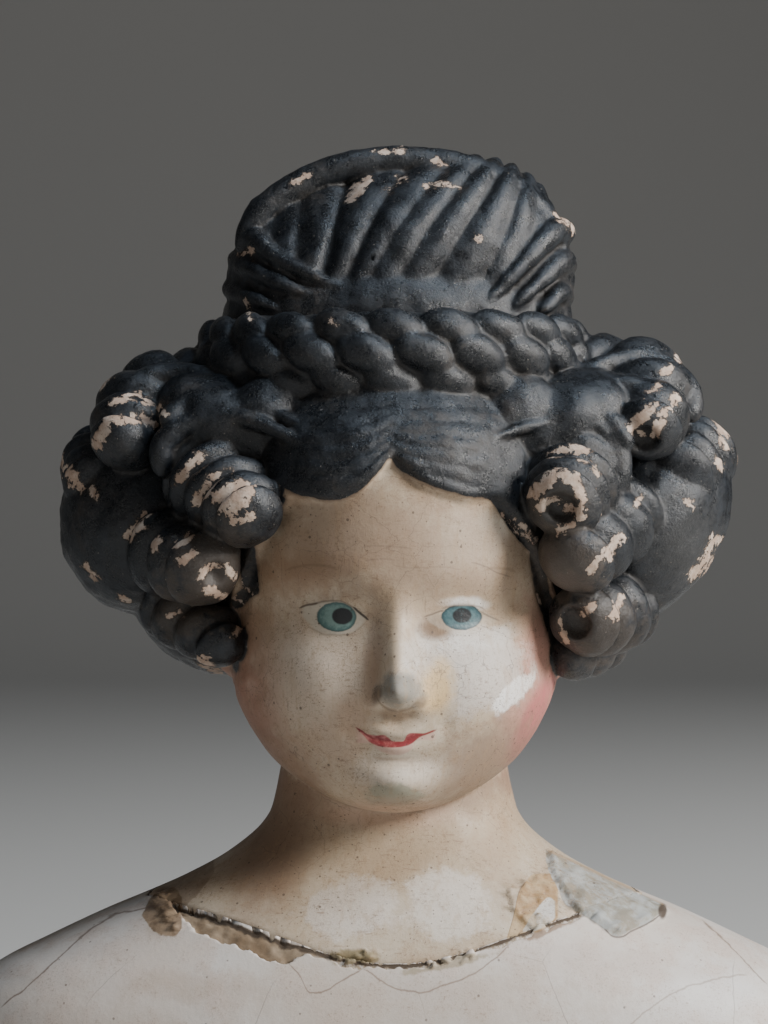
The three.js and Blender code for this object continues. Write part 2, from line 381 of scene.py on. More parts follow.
@dataclass(frozen=True)
class Swelling:
    """A smooth mass of hair: an ellipsoid turned about the line of sight, combed in broad strands.

    Args:
        centre: its middle.
        half: half its width, depth and height before it is turned.
        tilt: its turn, in degrees.
    """

    centre: Row
    half: Row
    tilt: float
    strands: int = 13
    relief: float = 0.014

    def shape(self, clay: Clay) -> None:
        """Adds the mass to the clay."""
        turn = math.radians(self.tilt)

        def place(along: Points, around: Points) -> Points:
            comb = np.abs(np.sin(self.strands * (around + 0.9 * along) / 2)) * np.sin(math.pi * along)
            reach = np.sin(math.pi * along) * (1 - self.relief * (1 - comb))
            x = self.half[0] * reach * np.sin(around)
            y = -self.half[1] * reach * np.cos(around)
            z = self.half[2] * np.cos(math.pi * along)
            turned_x = x * math.cos(turn) + z * math.sin(turn)
            turned_z = z * math.cos(turn) - x * math.sin(turn)
            return np.stack((turned_x, y, turned_z), axis=1) + np.array(self.centre)

        clay.add(96, 64, place)


@dataclass
class Skull:
    """The bare head and face, before the hair is laid on.

    Each level runs from crown to throat: height in front, height behind, half width, how far forward and
    how far back.
    """

    levels: Table = (
        (173, 173, 0.5, -2, 4),
        (169, 169, 22, 22, 27),
        (157, 157, 33, 35.5, 39),
        (144, 144, 37, 41.8, 43.3),
        (132, 132, 37.8, 43.8, 44.2),
        (121, 122, 37.6, 43, 43.5),
        (112, 114, 37.2, 41.2, 41),
        (104, 107, 37, 41.8, 37),
        (97, 102, 36.8, 42.4, 33),
        (90.5, 98, 35.6, 42.6, 30),
        (84.5, 95, 33.6, 42, 28),
        (79, 92, 31, 40.3, 26),
        (74.5, 89, 27.8, 37.6, 24),
        (71, 86, 23, 33.4, 20),
        (69, 80, 15, 27, 12),
        (70, 74, 0.5, 18, -17),
    )
    hairline: Table = (
        (0, 145.5), (10, 139.5), (22, 136.5), (34, 137), (42, 133), (55, 122), (70, 108), (90, 98),
        (120, 93), (180, 92),
    )
    hair_thickness: float = 2.2
    hair_edge: float = 1.3
    wing_relief: float = 1.6
    crown_reach: float = 12.0
    face_middle: float = 0.5
    face_edge: tuple[float, float] = (0.15, 0.75)
    # distance out from the middle of the face, height, half width, half height, relief
    face_forms: Table = (
        (13.3, 111.7, 8.5, 6, -2.2),
        (13.3, 111.7, 5.5, 3.6, 1.5),
        (12, 121.5, 12, 5, 0.9),
        (19, 97, 10, 10, 2.5),
        (0, 81.4, 8, 2.4, -1.3),
        (0, 75.2, 7.6, 5.2, 3.3),
    )
    nose_relief: float = 4.9
    nose_flank: float = 1.9
    nose_heights: tuple[float, float, float] = (89.4, 97.0, 122.0)
    nose_widths: tuple[float, float] = (3.9, 2.8)

    def relief(self, x: Points, z: Points) -> Points:
        """How far the face stands forward of the bare head.

        Args:
            x: places across, in parts.
            z: heights, in parts.

        Returns:
            The relief, in parts.
        """
        side = np.abs(x - self.face_middle)
        under, tip, root = self.nose_heights
        up = ease(z, tip, root)
        rise = np.where(z > tip, 1 - up, ease(z, under, tip))
        width = self.nose_widths[0] + (self.nose_widths[1] - self.nose_widths[0]) * up
        total = self.nose_relief * rise * np.exp(-((side / width) ** 2))
        total = total + self.nose_flank * rise * bell(side, 8.5)
        for out, height, wide, tall, forward in self.face_forms:
            total = total + forward * bell(side - out, wide) * bell(z - height, tall)
        return total

    def shape(self, clay: Clay) -> None:
        """Adds the head to the clay."""

        def place(along: Points, around: Points) -> Points:
            angle = around - 0.36 * np.sin(around)
            front, back, half_width, forward, behind = row_at(self.levels, along).T
            facing = np.cos(angle)
            z = back + (front - back) * (1 + facing) / 2
            x = half_width * np.sin(angle)
            y = (behind - forward) / 2 - (behind + forward) / 2 * facing
            y = y - self.relief(x, z) * ease(facing, *self.face_edge)
            line = look_up(self.hairline, np.abs(np.degrees(angle)))
            cover = ease(z - line, -self.hair_edge, self.hair_edge)
            wing = self.wing_relief * bell(np.abs(x) - 15, 11) * bell(z - 148, 8)
            wing = wing * ease(facing, *self.face_edge)
            thickness = (self.hair_thickness + wing) * cover
            swell = 1 + thickness / np.maximum(self.crown_reach, np.hypot(x, y))
            return np.stack((x * swell, y * swell, z), axis=1)

        clay.add(320, 260, place)


@dataclass
class Body:
    """The neck and shoulders, level by level, and the elliptic block that parts the yoke from the torso.

    Args:
        neck: width and depth of the neck, in parts.
        shoulders: width and depth of the shoulders.
        yoke: width and depth of the block.
        seat: height of the recess's floor.
        gap: room between the yoke and the recess.
        top: height at which the neck ends inside the head.
        squareness: how square the levels are. 2 is an ellipse.
        levels: each has its height, then how far it has spread from the neck (0) to the shoulders (1),
            sideways and front to back.
    """

    neck: tuple[float, float] = (53.0, 46.0)
    shoulders: tuple[float, float] = (208.0, 84.0)
    yoke: tuple[float, float] = (110.0, 76.0)
    seat: float = 30.0
    gap: float = 0.3
    top: float = 95.0
    squareness: float = 2.3
    levels: Table = (
        (0, 1, 1), (14, 0.99, 1.05), (25, 0.929, 1), (32, 0.819, 0.92), (37.3, 0.685, 0.82),
        (43.4, 0.517, 0.67), (48, 0.374, 0.54), (51.8, 0.265, 0.43), (57, 0.145, 0.26), (64, 0.04, 0.1),
        (72, 0, 0), (95, -0.05, -0.05),
    )

    def reach(self, height: Points, around: Points) -> Points:
        """How far the surface is from the axis at a height and an angle, in parts."""
        fine = row_at(self.levels, np.linspace(0.0, 1.0, 400))
        spread = np.interp(height, fine[:, 0], fine[:, 1])
        fullness = np.interp(height, fine[:, 0], fine[:, 2])
        half_width = (self.neck[0] + (self.shoulders[0] - self.neck[0]) * spread) / 2
        half_depth = (self.neck[1] + (self.shoulders[1] - self.neck[1]) * fullness) / 2
        power = self.squareness
        share = np.abs(np.sin(around) / half_width) ** power + np.abs(np.cos(around) / half_depth) ** power
        return share ** (-1 / power)

    def block_reach(self, around: Points, clearance: float) -> Points:
        """How far the block's wall is from the axis at an angle, in parts."""
        half_width = self.yoke[0] / 2 + clearance
        half_depth = self.yoke[1] / 2 + clearance
        return 1 / np.hypot(np.sin(around) / half_width, np.cos(around) / half_depth)


@dataclass
class Yoke:
    """The neck and the yoke that it ends in, down to the floor of the torso's recess.

    Args:
        body: the neck and shoulders that it is cut out of.
        cap: share of its length that each end takes.
        mesh_size: number of points round it, and of rings.
    """

    body: Body
    cap: float = 0.05
    mesh_size: tuple[int, int] = (280, 240)

    def shape(self, clay: Clay) -> None:
        """Adds the neck and yoke to the clay."""
        body = self.body

        def place(along: Points, around: Points) -> Points:
            share = np.clip((along - self.cap) / (1 - 2 * self.cap), 0.0, 1.0)
            height = body.top + (body.seat + body.gap - body.top) * share
            inset = np.minimum(np.clip(along / self.cap, 0, 1), np.clip((1 - along) / self.cap, 0, 1))
            reach = np.minimum(body.reach(height, around), body.block_reach(around, 0.0)) * inset
            return np.stack((reach * np.sin(around), -reach * np.cos(around), height), axis=1)

        clay.add(*self.mesh_size, place)


@dataclass
class Plait:
    """The coronet: a plait laid round the crown, whose strands stand out as staggered rows of leaves."""

    height: float = 168.0
    half_width: float = 37.5
    half_depth: float = 34.0
    back: float = 5.0
    thickness: float = 7.4
    rise: float = 10.0
    leaves: int = 22
    relief: float = 3.2
    fullness: float = 0.2
    slant: float = 0.4

    def leaf(self, way: Points, section: Points) -> Points:
        """How far the leaves stand out at a place of the plait.

        Args:
            way: angle round the crown.
            section: angle round the plait.

        Returns:
            Numbers from 0 in the valleys to 1 on the ridges.
        """
        best = np.zeros_like(way)
        for row, middle in enumerate((-math.pi / 4, 0.0, math.pi / 4)):
            across = (section - middle) / (math.pi / 6.2)
            place = way * self.leaves / FULL_TURN + 0.5 * (row % 2) + self.slant * across * 0.5
            along = (place - np.floor(place) - 0.5) * 2.1
            leaf = np.sqrt(np.maximum(0.0, 1 - along**2 - across**2))
            best = np.maximum(best, self.fullness + (1 - self.fullness) * leaf)
        return best

    def shape(self, clay: Clay) -> None:
        """Adds the plait to the clay, as a ring of overlapping lengths."""
        lengths = 6
        step = FULL_TURN / lengths
        for number in range(lengths):

            def place(along: Points, around: Points, start: float = number * step) -> Points:
                way = start + (along - 0.5) * step * 1.5
                section = around
                inset = rounded_ends(along, 0.06)
                bump = self.leaf(way, section)
                out = np.cos(section) * (self.thickness + self.relief * (bump - 0.5)) * inset
                up = np.sin(section) * (self.rise + self.relief * (bump - 0.5)) * inset
                across = (self.half_width + out) * np.cos(way)
                behind = self.back + (self.half_depth + out) * np.sin(way)
                return np.stack((across, behind, self.height + up), axis=1)

            clay.add(110, 130, place)


@dataclass
class Knot:
    """The knot on the crown: a broad loop of hair with leaning strands, a roll along its top and rolls that
    wrap its sides."""

    centre: Row = (1.5, 4, 187)
    half: Row = (39.5, 24, 28.3)
    outline: tuple[float, float] = (41.0, 29.5)
    strands: int = 17
    relief: float = 0.085
    lean: float = 0.36
    foot: Swelling = Swelling((0.6, 5, 178), (40, 27, 18), 0, relief=0.0)
    rim: float = 3.3
    rim_forward: float = 8.0
    rim_span: tuple[float, float] = (168, 12)
    wraps: tuple[Wave, ...] = (
        Wave(((-34, 5, 199), (-31, -6.5, 195), (-25, -12.5, 190), (-15, -17.5, 184.5), (-6, -19.5, 181)),
             3.0, 0.9),
        Wave(((-36, 5, 192), (-32, -7, 188.5), (-25, -14, 184.5), (-16, -18.5, 180.5)), 3.2, 0.9),
        Wave(((-37, 5, 185), (-32.5, -9, 182), (-25, -15.5, 178.5)), 3.2, 1.0),
        Wave(((38, 4, 197), (36, -5.5, 197), (31, -12, 192), (25, -15.5, 185), (19, -18, 179)), 4.0, 0.9),
        Wave(((38.5, 4, 190), (37, -6, 190), (32, -12, 185), (26, -16, 179)), 3.8, 1.0),
        Wave(((38, 5, 183), (37, -7, 183), (32, -12.5, 178)), 3.4, 1.2),
    )

    def shape(self, clay: Clay) -> None:
        """Adds the knot to the clay."""
        centre = np.array(self.centre)
        half = np.array(self.half)

        def place(along: Points, around: Points) -> Points:
            drift = 0.3 * np.sin(9 * along + 1.7 * around) + 0.22 * np.sin(19 * along - 1.3 * around + 2.0)
            fold = np.abs(np.sin(math.pi * (self.strands * along + drift))) ** 0.75
            depth = self.relief * (1 - fold) * ease(np.cos(around), -0.75, 0.0)
            depth = depth * (0.7 + 0.3 * np.sin(23 * along))
            reach = np.sin(math.pi * along) * (1 - depth)
            rise = reach * np.cos(around)
            side = -np.cos(math.pi * along)
            across = side + self.lean * rise * (1 - side * side)
            place = (half[0] * across, half[1] * reach * np.sin(around), half[2] * rise)
            return centre + np.stack(place, axis=1)

        clay.add(150, 420, place)
        self.foot.shape(clay)
        across, up = (size - self.rim for size in self.outline)
        angles = np.radians(np.linspace(*self.rim_span, 7))
        forward = centre[1] - self.rim_forward
        rim = tuple(
            (centre[0] + across * math.cos(angle), forward, centre[2] + up * math.sin(angle))
            for angle in angles
        )
        clay.lock(Curve(rim), plain_radius(self.rim, self.rim), 40, 120)
        for wrap in self.wraps:
            wrap.shape(clay)


CURLS = (
    Ringlet((-42, -16, 143.5), (-29, -43, 131), 13, 7.0, 5),
    Ringlet((-35, 7, 156), (-60, -24, 146), 15, 7.2, 6, bow=(-7, 5, 7)),
    Ringlet((-66, 12, 147), (-66, -10, 138), 11.5, 8, 4),
    Ringlet((-55, -6, 128), (-38, -36, 120.5), 11.5, 8.8, 4, hole=3.2),
    Ringlet((-51, -4, 115), (-35, -25, 102.5), 11, 5, 4),
    Ringlet((41, -15, 143), (34.8, -44, 134.5), 14, 7.4, 5, hole=4.4),
    Ringlet((36, 8, 159), (54, -28, 149), 16, 7.2, 6, bow=(10, 7, 7), hole=4.0),
    Ringlet((70, 9, 148), (61, -16, 141), 11.5, 8, 4),
    Ringlet((54, -12, 137), (35.5, -40, 121), 10, 9.0, 4),
    Ringlet((53, -2, 113), (38.5, -31, 110), 10.5, 8.2, 4, hole=4.2),
    Ringlet((48, 0, 106.5), (36.5, -20, 100.5), 8.6, 5, 3),
)
WAVES = (
    Wave(((22, -28, 158), (36, -17, 163), (54, -8, 168.5), (64, -8, 163), (66, -14, 154)), 1.2, 3.6),
    Wave(((22, -31, 154), (32.3, -24, 158.6), (42.4, -20, 161.6), (53.5, -20, 161), (59, -22, 155)),
         1.0, 3.2),
    Wave(((27, -30, 154), (37.2, -25, 157), (46.5, -26, 153.8), (51, -28, 147.5)), 0.9, 3.0),
    Wave(((20, -36, 149.4), (31, -30, 152.8), (42.6, -27, 153), (48.5, -27, 146.3), (46.9, -27, 136.6)),
         0.9, 3.0),
    Wave(((-20, -31, 157), (-33, -20, 161.4), (-46.7, -12, 164.5), (-57.9, -12, 161.8), (-64.9, -12, 152)),
         1.2, 3.4),
    Wave(((-18, -36, 151.6), (-31, -26, 157), (-43.2, -24, 158.3), (-50.8, -26, 152.8)), 0.9, 3.0),
    Wave(((-16, -39, 146.2), (-28.4, -32, 152.7), (-41, -27, 154.5), (-49.6, -26, 149.5), (-50.7, -25, 141)),
         0.9, 3.1),
)
SIDE_HAIR = (
    Swelling((-43, 6, 154), (17, 18, 13), 25),
    Swelling((-55, 6, 132), (21.5, 25, 22), 15),
    Swelling((-44, 8, 114), (20.5, 22, 14.5), 42),
    Swelling((46, 6, 156), (18, 18, 13), -20),
    Swelling((-33, -14.5, 151.5), (21, 16.5, 11.5), 24, relief=0.03),
    Swelling((34.5, -14.5, 152), (21.5, 16.5, 11.8), -24, relief=0.03),
    Swelling((-26.5, -24.5, 154.2), (10, 7, 10), 24, relief=0.03),
    Swelling((26.5, -24.5, 154.2), (10, 7, 10), -24, relief=0.03),
    Swelling((56.3, 6, 131.8), (18.5, 26, 25.5), 32),
    Swelling((45.5, 8, 113), (21.5, 21, 12.2), -39),
)


def applied(piece: bpy.types.Object) -> None:
    """Makes a piece's modifiers part of its mesh."""
    evaluated = piece.evaluated_get(bpy.context.evaluated_depsgraph_get())
    old = piece.data
    piece.data = bpy.data.meshes.new_from_object(evaluated)
    piece.modifiers.clear()
    bpy.data.meshes.remove(old)


def read_points(mesh: bpy.types.Mesh) -> Points:
    """Gives a mesh's vertices as rows."""
    flat = np.empty(len(mesh.vertices) * 3)
    mesh.vertices.foreach_get("co", flat)
    return flat.reshape(-1, 3)


def read_normals(mesh: bpy.types.Mesh) -> Points:
    """Gives a mesh's vertex normals as rows."""
    flat = np.empty(len(mesh.vertices) * 3)
    mesh.vertices.foreach_get("normal", flat)
    return flat.reshape(-1, 3)


def write_points(mesh: bpy.types.Mesh, places: Points) -> None:
    """Puts a mesh's vertices in new places."""
    mesh.vertices.foreach_set("co", places.astype(np.float32).ravel())
    mesh.update()


def write_field(mesh: bpy.types.Mesh, name: str, values: Points) -> None:
    """Keeps one number for each vertex, for the finish to read."""
    layer = mesh.attributes.new(name, "FLOAT", "POINT")
    layer.data.foreach_set("value", values.astype(np.float32))


def seen_field(parts: Points, surface: BVHTree) -> Points:
    """Whether each place shows in the front view.

    Args:
        parts: places on the surface.
        surface: the surface itself, in metres.

    Returns:
        1 where it shows and 0 where something stands before it.
    """
    metres = LAYOUT.to_frame(parts)
    eye = Vector(LAYOUT.to_frame(np.array([VIEW.eye]))[0])
    seen = np.zeros(len(parts))
    for index in np.flatnonzero(parts[:, 1] < DEEPEST_SEEN):
        spot = Vector(metres[index])
        way = (eye - spot).normalized()
        hit = surface.ray_cast(spot + way * CLEARANCE, way)
        seen[index] = 1.0 if hit[0] is None else 0.0
    return seen


def ridge_field(mesh: bpy.types.Mesh, rounds: int) -> Points:
    """How far each vertex stands out of its neighbours, in metres per square metre.

    Args:
        mesh: the surface.
        rounds: how many times the result is evened out.

    Returns:
        Numbers above 0 on ridges and below 0 in valleys.
    """
    places = read_points(mesh)
    normals = read_normals(mesh)
    ends = np.empty(len(mesh.edges) * 2, dtype=np.int32)
    mesh.edges.foreach_get("vertices", ends)
    first, second = ends.reshape(-1, 2).T
    count = np.bincount(ends, minlength=len(places)).astype(float)
    step = places[second] - places[first]
    square = (step**2).sum(axis=1)
    rise = (step * normals[first]).sum(axis=1) / square
    fall = -(step * normals[second]).sum(axis=1) / square
    total = np.bincount(first, rise, len(places)) + np.bincount(second, fall, len(places))
    ridge = -total / count
    for _ in range(rounds):
        around = np.bincount(first, ridge[second], len(places))
        around = around + np.bincount(second, ridge[first], len(places))
        ridge = (ridge + around / count) / 2
    return ridge


def rough_field(parts: Points, scale: float, octaves: int) -> Points:
    """A random pattern round 0, at places in parts.

    Args:
        parts: the places.
        scale: how many of its features fit in one part.
        octaves: how many finer patterns it is made of.

    Returns:
        Numbers from about -0.7 to 0.7.
    """
    return np.array([noise.fractal(Vector(place), 0.9, 2.0, octaves) for place in parts * scale])


def forehead_line(across: Points) -> Points:
    """Height of the hair's lower edge over the forehead, in picture points."""
    fine = row_at(FOREHEAD_LINE, np.linspace(0.0, 1.0, 200))
    return np.interp(across, fine[:, 0], fine[:, 1])


def dab_field(across: Points, down: Points, dabs: Table) -> Points:
    """How far outside the nearest of several strokes picture points are, negative inside.

    Args:
        across: the points' places across.
        down: and down.
        dabs: for each stroke its two ends and half its width.
    """
    nearest = np.full(len(across), 60.0)
    for x0, y0, x1, y1, radius in dabs:
        run = np.array((x1 - x0, y1 - y0), dtype=float)
        share = np.clip(((across - x0) * run[0] + (down - y0) * run[1]) / (run @ run), 0.0, 1.0)
        gap = np.hypot(across - x0 - share * run[0], down - y0 - share * run[1]) - radius
        nearest = np.minimum(nearest, gap)
    return nearest


def joint_rise(parts: Points) -> Points:
    """How far the loose strip and the lumps of glue along the joint stand up, in parts."""
    across, down = VIEW.points(parts)
    near = (parts[:, 1] < 6) & (down > 850) & (down < 980)
    rise = np.zeros(len(parts))
    spots = parts[near]
    across, down = across[near], down[near]
    coarse = rough_field(spots, 0.45, 3)
    strip = inside_field(across, down, STRIP) / POINTS_PER_PART + 0.8 * coarse
    rise_near = STRIP_RISE * ease(strip, 0.0, 0.45) * (1 + 0.5 * rough_field(spots, 0.3, 2))
    lump = -dab_field(across, down, GLUE) / POINTS_PER_PART + 1.6 * coarse
    rise_near = np.maximum(rise_near, GLUE_RISE * ease(lump, -0.2, 0.9) * (1 + coarse))
    rise[near] = rise_near
    return rise


def inside_field(across: Points, down: Points, outline: tuple[tuple[float, float], ...]) -> Points:
    """How far inside a convex outline picture points are, negative outside.

    Args:
        across: the points' places across.
        down: and down.
        outline: the outline's corners, clockwise in the picture.
    """
    inside = np.full(len(across), 1e3)
    for (x0, y0), (x1, y1) in zip(outline, (*outline[1:], outline[0])):
        length = math.hypot(x1 - x0, y1 - y0)
        inside = np.minimum(inside, ((x1 - x0) * (down - y0) - (y1 - y0) * (across - x0)) / length)
    return inside


def tree_of(mesh: bpy.types.Mesh) -> BVHTree:
    """Sorts a mesh's faces so that what is near a place can be found."""
    faces = bmesh.new()
    faces.from_mesh(mesh)
    tree = BVHTree.FromBMesh(faces)
    faces.free()
    return tree


def new_piece(name: str, clay: Clay) -> bpy.types.Object:
    """Makes an object of what a clay holds so far.

    Args:
        name: the piece's name.
        clay: the forms.

    Returns:
        The piece, at the origin.
    """
    mesh = bpy.data.meshes.new(name)
    clay.mesh.to_mesh(mesh)
    piece = bpy.data.objects.new(name, mesh)
    bpy.context.scene.collection.objects.link(piece)
    return piece


@dataclass
class FaceDetail:
    """The small forms of the face, which are worked in after the head's forms have been blended."""

    middle: float = 0.5
    mouth_height: float = 85.6
    mouth_curl: float = 0.043  # how fast the line of the mouth rises away from its middle
    lid_height: float = 114.4
    lid_curl: float = 0.045

    def relief(self, x: Points, z: Points) -> Points:
        """How far the small forms stand forward of the blended face.

        Args:
            x: places across, in parts.
            z: heights, in parts.

        Returns:
            The relief, in parts.
        """
        side = np.abs(x - self.middle)
        mouth = self.mouth_height + self.mouth_curl * side**2
        total = 1.1 * bell(side - 4.9, 1.7) * bell(z - 93.8, 2.1)
        total = total + 1.9 * bell(side, 4.2) * bell(z - 95.4, 3.5)
        total = total - 0.5 * bell(side - 2.6, 1.2) * bell(z - 91.2, 1.0)
        total = total - 0.35 * bell(side, 1.3) * bell(z - 89.6, 1.8)
        total = total + 1.1 * bell(side, 5.4) * bell(z - mouth - 1.6, 1.3)
        total = total + 1.3 * bell(side, 4.6) * bell(z - mouth + 1.9, 1.6)
        total = total - 0.4 * bell(side, 7.0) * bell(z - mouth, 0.6)
        total = total - 0.5 * bell(side - 10.2, 1.8) * bell(z - 88.6, 2.2)
        lid = self.lid_height - self.lid_curl * (side - 12.8) ** 2
        lower = 109.3 + 0.03 * (side - 12.8) ** 2
        span = bell(side - 13.0, 6.2)
        total = total + 0.4 * span * bell(z - lid - 0.5, 0.8)
        total = total + 0.2 * span * bell(z - lower + 0.5, 0.8)
        return total


@dataclass
class Head:
    """The shoulder head, pressed in one piece: face, hair, neck and yoke.

    Args:
        skull: the bare head.
        yoke: the neck and yoke.
        detail: the small forms of the face.
        voxel: fineness of the blended skin, in parts.
        most: most triangles that it may have.
        softening: how often the blended skin is softened.
        soft_share: how far each softening goes.
        parting_height: where the combed lines begin at the parting, in picture points down.
        front_lines: number of combed lines between the parting and the edge of the hair.
        line_depth: their depth, in parts.
        back_spacing: degrees between two combed lines at the back.
        back_depth: their depth, in parts.
        edge_reach: how far outside and inside its edge the hair's finish is mixed with the flesh, in parts.
        hair_reach: how far from a form of the hair its paint is looked for, in parts.
        unevenness: how uneven the press left the hair, in parts.
    """

    skull: Skull
    yoke: Yoke
    detail: FaceDetail = field(default_factory=FaceDetail)
    voxel: float = 0.5
    most: int = 195_000
    softening: int = 2
    soft_share: float = 0.5
    parting_height: float = 392.0
    front_lines: float = 6.5
    line_depth: float = 0.28
    back_spacing: float = 5.0
    back_depth: float = 0.45
    edge_reach: tuple[float, float] = (1.2, 0.6)
    hair_reach: float = 3.0
    unevenness: float = 0.55

    def hair_clay(self) -> Clay:
        """Makes the forms of the hair alone."""
        clay = Clay()
        for form in (*CURLS, *WAVES, *SIDE_HAIR, Plait(), Knot()):
            form.shape(clay)
        return clay

    def hair_field(self, parts: Points, near: BVHTree) -> Points:
        """How far inside the hair's paint each place is, in parts, negative outside it.

        Args:
            parts: places on the head's surface.
            near: the hair's forms, in metres.

        Returns:
            One number for each place.
        """
        across, down = VIEW.points(parts)
        azimuth = np.degrees(np.arctan2(np.abs(parts[:, 0]), -parts[:, 1]))
        behind = parts[:, 2] - look_up(self.skull.hairline, azimuth)
        front = (forehead_line(across) - down) / POINTS_PER_PART
        in_front = (parts[:, 1] < -15) & (across > FOREHEAD_LINE[0][0]) & (across < FOREHEAD_LINE[-1][0])
        edge = np.where(in_front, front, behind)
        metres = LAYOUT.to_frame(parts)
        gap = np.full(len(parts), self.hair_reach)
        bare = (edge < HAIR_PAINT_RIM) & (parts[:, 2] > LOWEST_CURL)
        for index in np.flatnonzero(bare):
            hit = near.find_nearest(Vector(metres[index]), self.hair_reach * LAYOUT.unit)
            if hit[3] is not None:
                gap[index] = hit[3] / LAYOUT.unit
        locks = -dab_field(across, down, PAINTED_LOCKS) / POINTS_PER_PART
        locks = np.where(parts[:, 1] < 0, locks, FAR_OUTSIDE)
        return np.maximum(np.maximum(edge, HAIR_PAINT_RIM - gap), locks)

    def chip_field(self, parts: Points) -> Points:
        """How far inside a chip of the hair's paint each place is, in parts, negative outside."""
        across, down = VIEW.points(parts)
        inside = -dab_field(across, down, HAIR_CHIPS) / POINTS_PER_PART
        return np.where(parts[:, 1] < DEEPEST_SEEN, inside, FAR_OUTSIDE)

    def build(self) -> bpy.types.Object:
        """Makes the head's mesh, with its fields."""
        log.info("head starts")
        hair = self.hair_clay()
        log.info("hair laid")
        near = BVHTree.FromBMesh(hair.mesh)
        clay = hair
        self.skull.shape(clay)
        self.yoke.shape(clay)
        log.info("forms laid")
        piece = new_piece("doll_head", clay)
        blend = piece.modifiers.new("blend", "REMESH")
        blend.mode = "VOXEL"
        blend.voxel_size = self.voxel * LAYOUT.unit
        soften = piece.modifiers.new("soften", "SMOOTH")
        soften.factor = self.soft_share
        soften.iterations = self.softening
        applied(piece)
        log.info("head blended: %d faces", len(piece.data.polygons))
        self.carve(piece.data)
        thin = piece.modifiers.new("thin", "DECIMATE")
        triangles = sum(len(face.vertices) - 2 for face in piece.data.polygons)
        thin.ratio = min(1.0, self.most / triangles)
        applied(piece)
        log.info("head thinned: %d faces", len(piece.data.polygons))
        piece.data.shade_smooth()
        parts = LAYOUT.to_parts(read_points(piece.data))
        hair_paint = self.hair_field(parts, near)
        write_field(piece.data, "hair", hair_paint)
        self.part_zones(piece.data, hair_paint)
        seen = seen_field(parts, tree_of(piece.data))
        write_field(piece.data, "seen", seen)
        write_field(piece.data, "chips", np.where(seen > 0, self.chip_field(parts), FAR_OUTSIDE))
        write_field(piece.data, "ridge", ridge_field(piece.data, 2) * LAYOUT.unit)
        log.info("head fields written")
        return piece

    def comb(self, parts: Points, normals: Points) -> Points:
        """How deep the combed lines lie in the smooth hair over the forehead and at the back, in parts."""
        across, down = VIEW.points(parts)
        line = forehead_line(across)
        share = (down - self.parting_height) / np.maximum(line - self.parting_height, 30.0)
        wave = share * self.front_lines + 0.5 * rough_field(parts, 0.05, 1)
        front = ease(across, 285, 315) * ease(across, 505, 470) * ease(share, 0.0, 0.15)
        front = front * ease(share, 1.0, 0.9) * ease(-parts[:, 1], 18, 26) * ease(-normals[:, 1], 0.2, 0.5)
        groove = (1 - np.abs(np.sin(math.pi * wave)) ** 0.7) * front * self.line_depth
        azimuth = np.degrees(np.arctan2(parts[:, 0], parts[:, 1]))
        wave = azimuth / self.back_spacing + 1.2 * rough_field(parts, 0.03, 2)
        back = ease(parts[:, 1], -8, 8) * ease(parts[:, 2], 93, 101) * ease(parts[:, 2], 163, 158)
        return groove + (1 - np.abs(np.sin(math.pi * wave)) ** 0.7) * back * self.back_depth

    def pressed(self, parts: Points) -> Points:
        """How uneven the press left the surface, in parts: most in the hair, little on the face and neck."""
        across, down = VIEW.points(parts)
        face = ease(across, 255, 280) * ease(across, 560, 535)
        face = face * ease(down, 468, 496) * ease(-parts[:, 1], 15, 25)
        share = (1 - 0.85 * face) * (0.25 + 0.75 * ease(parts[:, 2], 90, 96)) * ease(parts[:, 2], 62, 76)
        lumps = rough_field(parts, 0.11, 2) + 0.22 * rough_field(parts, 0.45, 2)
        return self.unevenness * share * lumps

    def carve(self, mesh: bpy.types.Mesh) -> None:
        """Works the small forms of the face, the combed hair and the joint into the blended head."""
        parts = LAYOUT.to_parts(read_points(mesh))
        normals = read_normals(mesh)
        facing = ease(-normals[:, 1], 0.1, 0.6) * ease(-parts[:, 1], 20, 28) * ease(-parts[:, 2], -130, -124)
        turned = ease(normals[:, 2], 0.0, 0.3) * ease(-normals[:, 1], 0.0, 0.25)
        push = joint_rise(parts) * turned - self.comb(parts, normals) + self.pressed(parts)
        parts = parts + normals * push[:, None]
        parts[:, 1] -= self.detail.relief(parts[:, 0], parts[:, 2]) * facing
        write_points(mesh, LAYOUT.to_frame(parts))

    def part_zones(self, mesh: bpy.types.Mesh, hair: Points) -> None:
        """Gives each face the finish of its zone.

        Args:
            mesh: the head.
            hair: how far inside the hair's paint each vertex is, in parts.
        """
        corners = np.empty(len(mesh.loops), dtype=np.int32)
        mesh.loops.foreach_get("vertex_index", corners)
        starts = np.empty(len(mesh.polygons), dtype=np.int32)
        mesh.polygons.foreach_get("loop_start", starts)
        least = np.minimum.reduceat(hair[corners], starts)
        most = np.maximum.reduceat(hair[corners], starts)
        zone = np.full(len(starts), Zone.EDGE.value, dtype=np.int32)
        zone[least > self.edge_reach[1]] = Zone.HAIR.value
        zone[most < -self.edge_reach[0]] = Zone.FLESH.value
        mesh.polygons.foreach_set("material_index", zone)


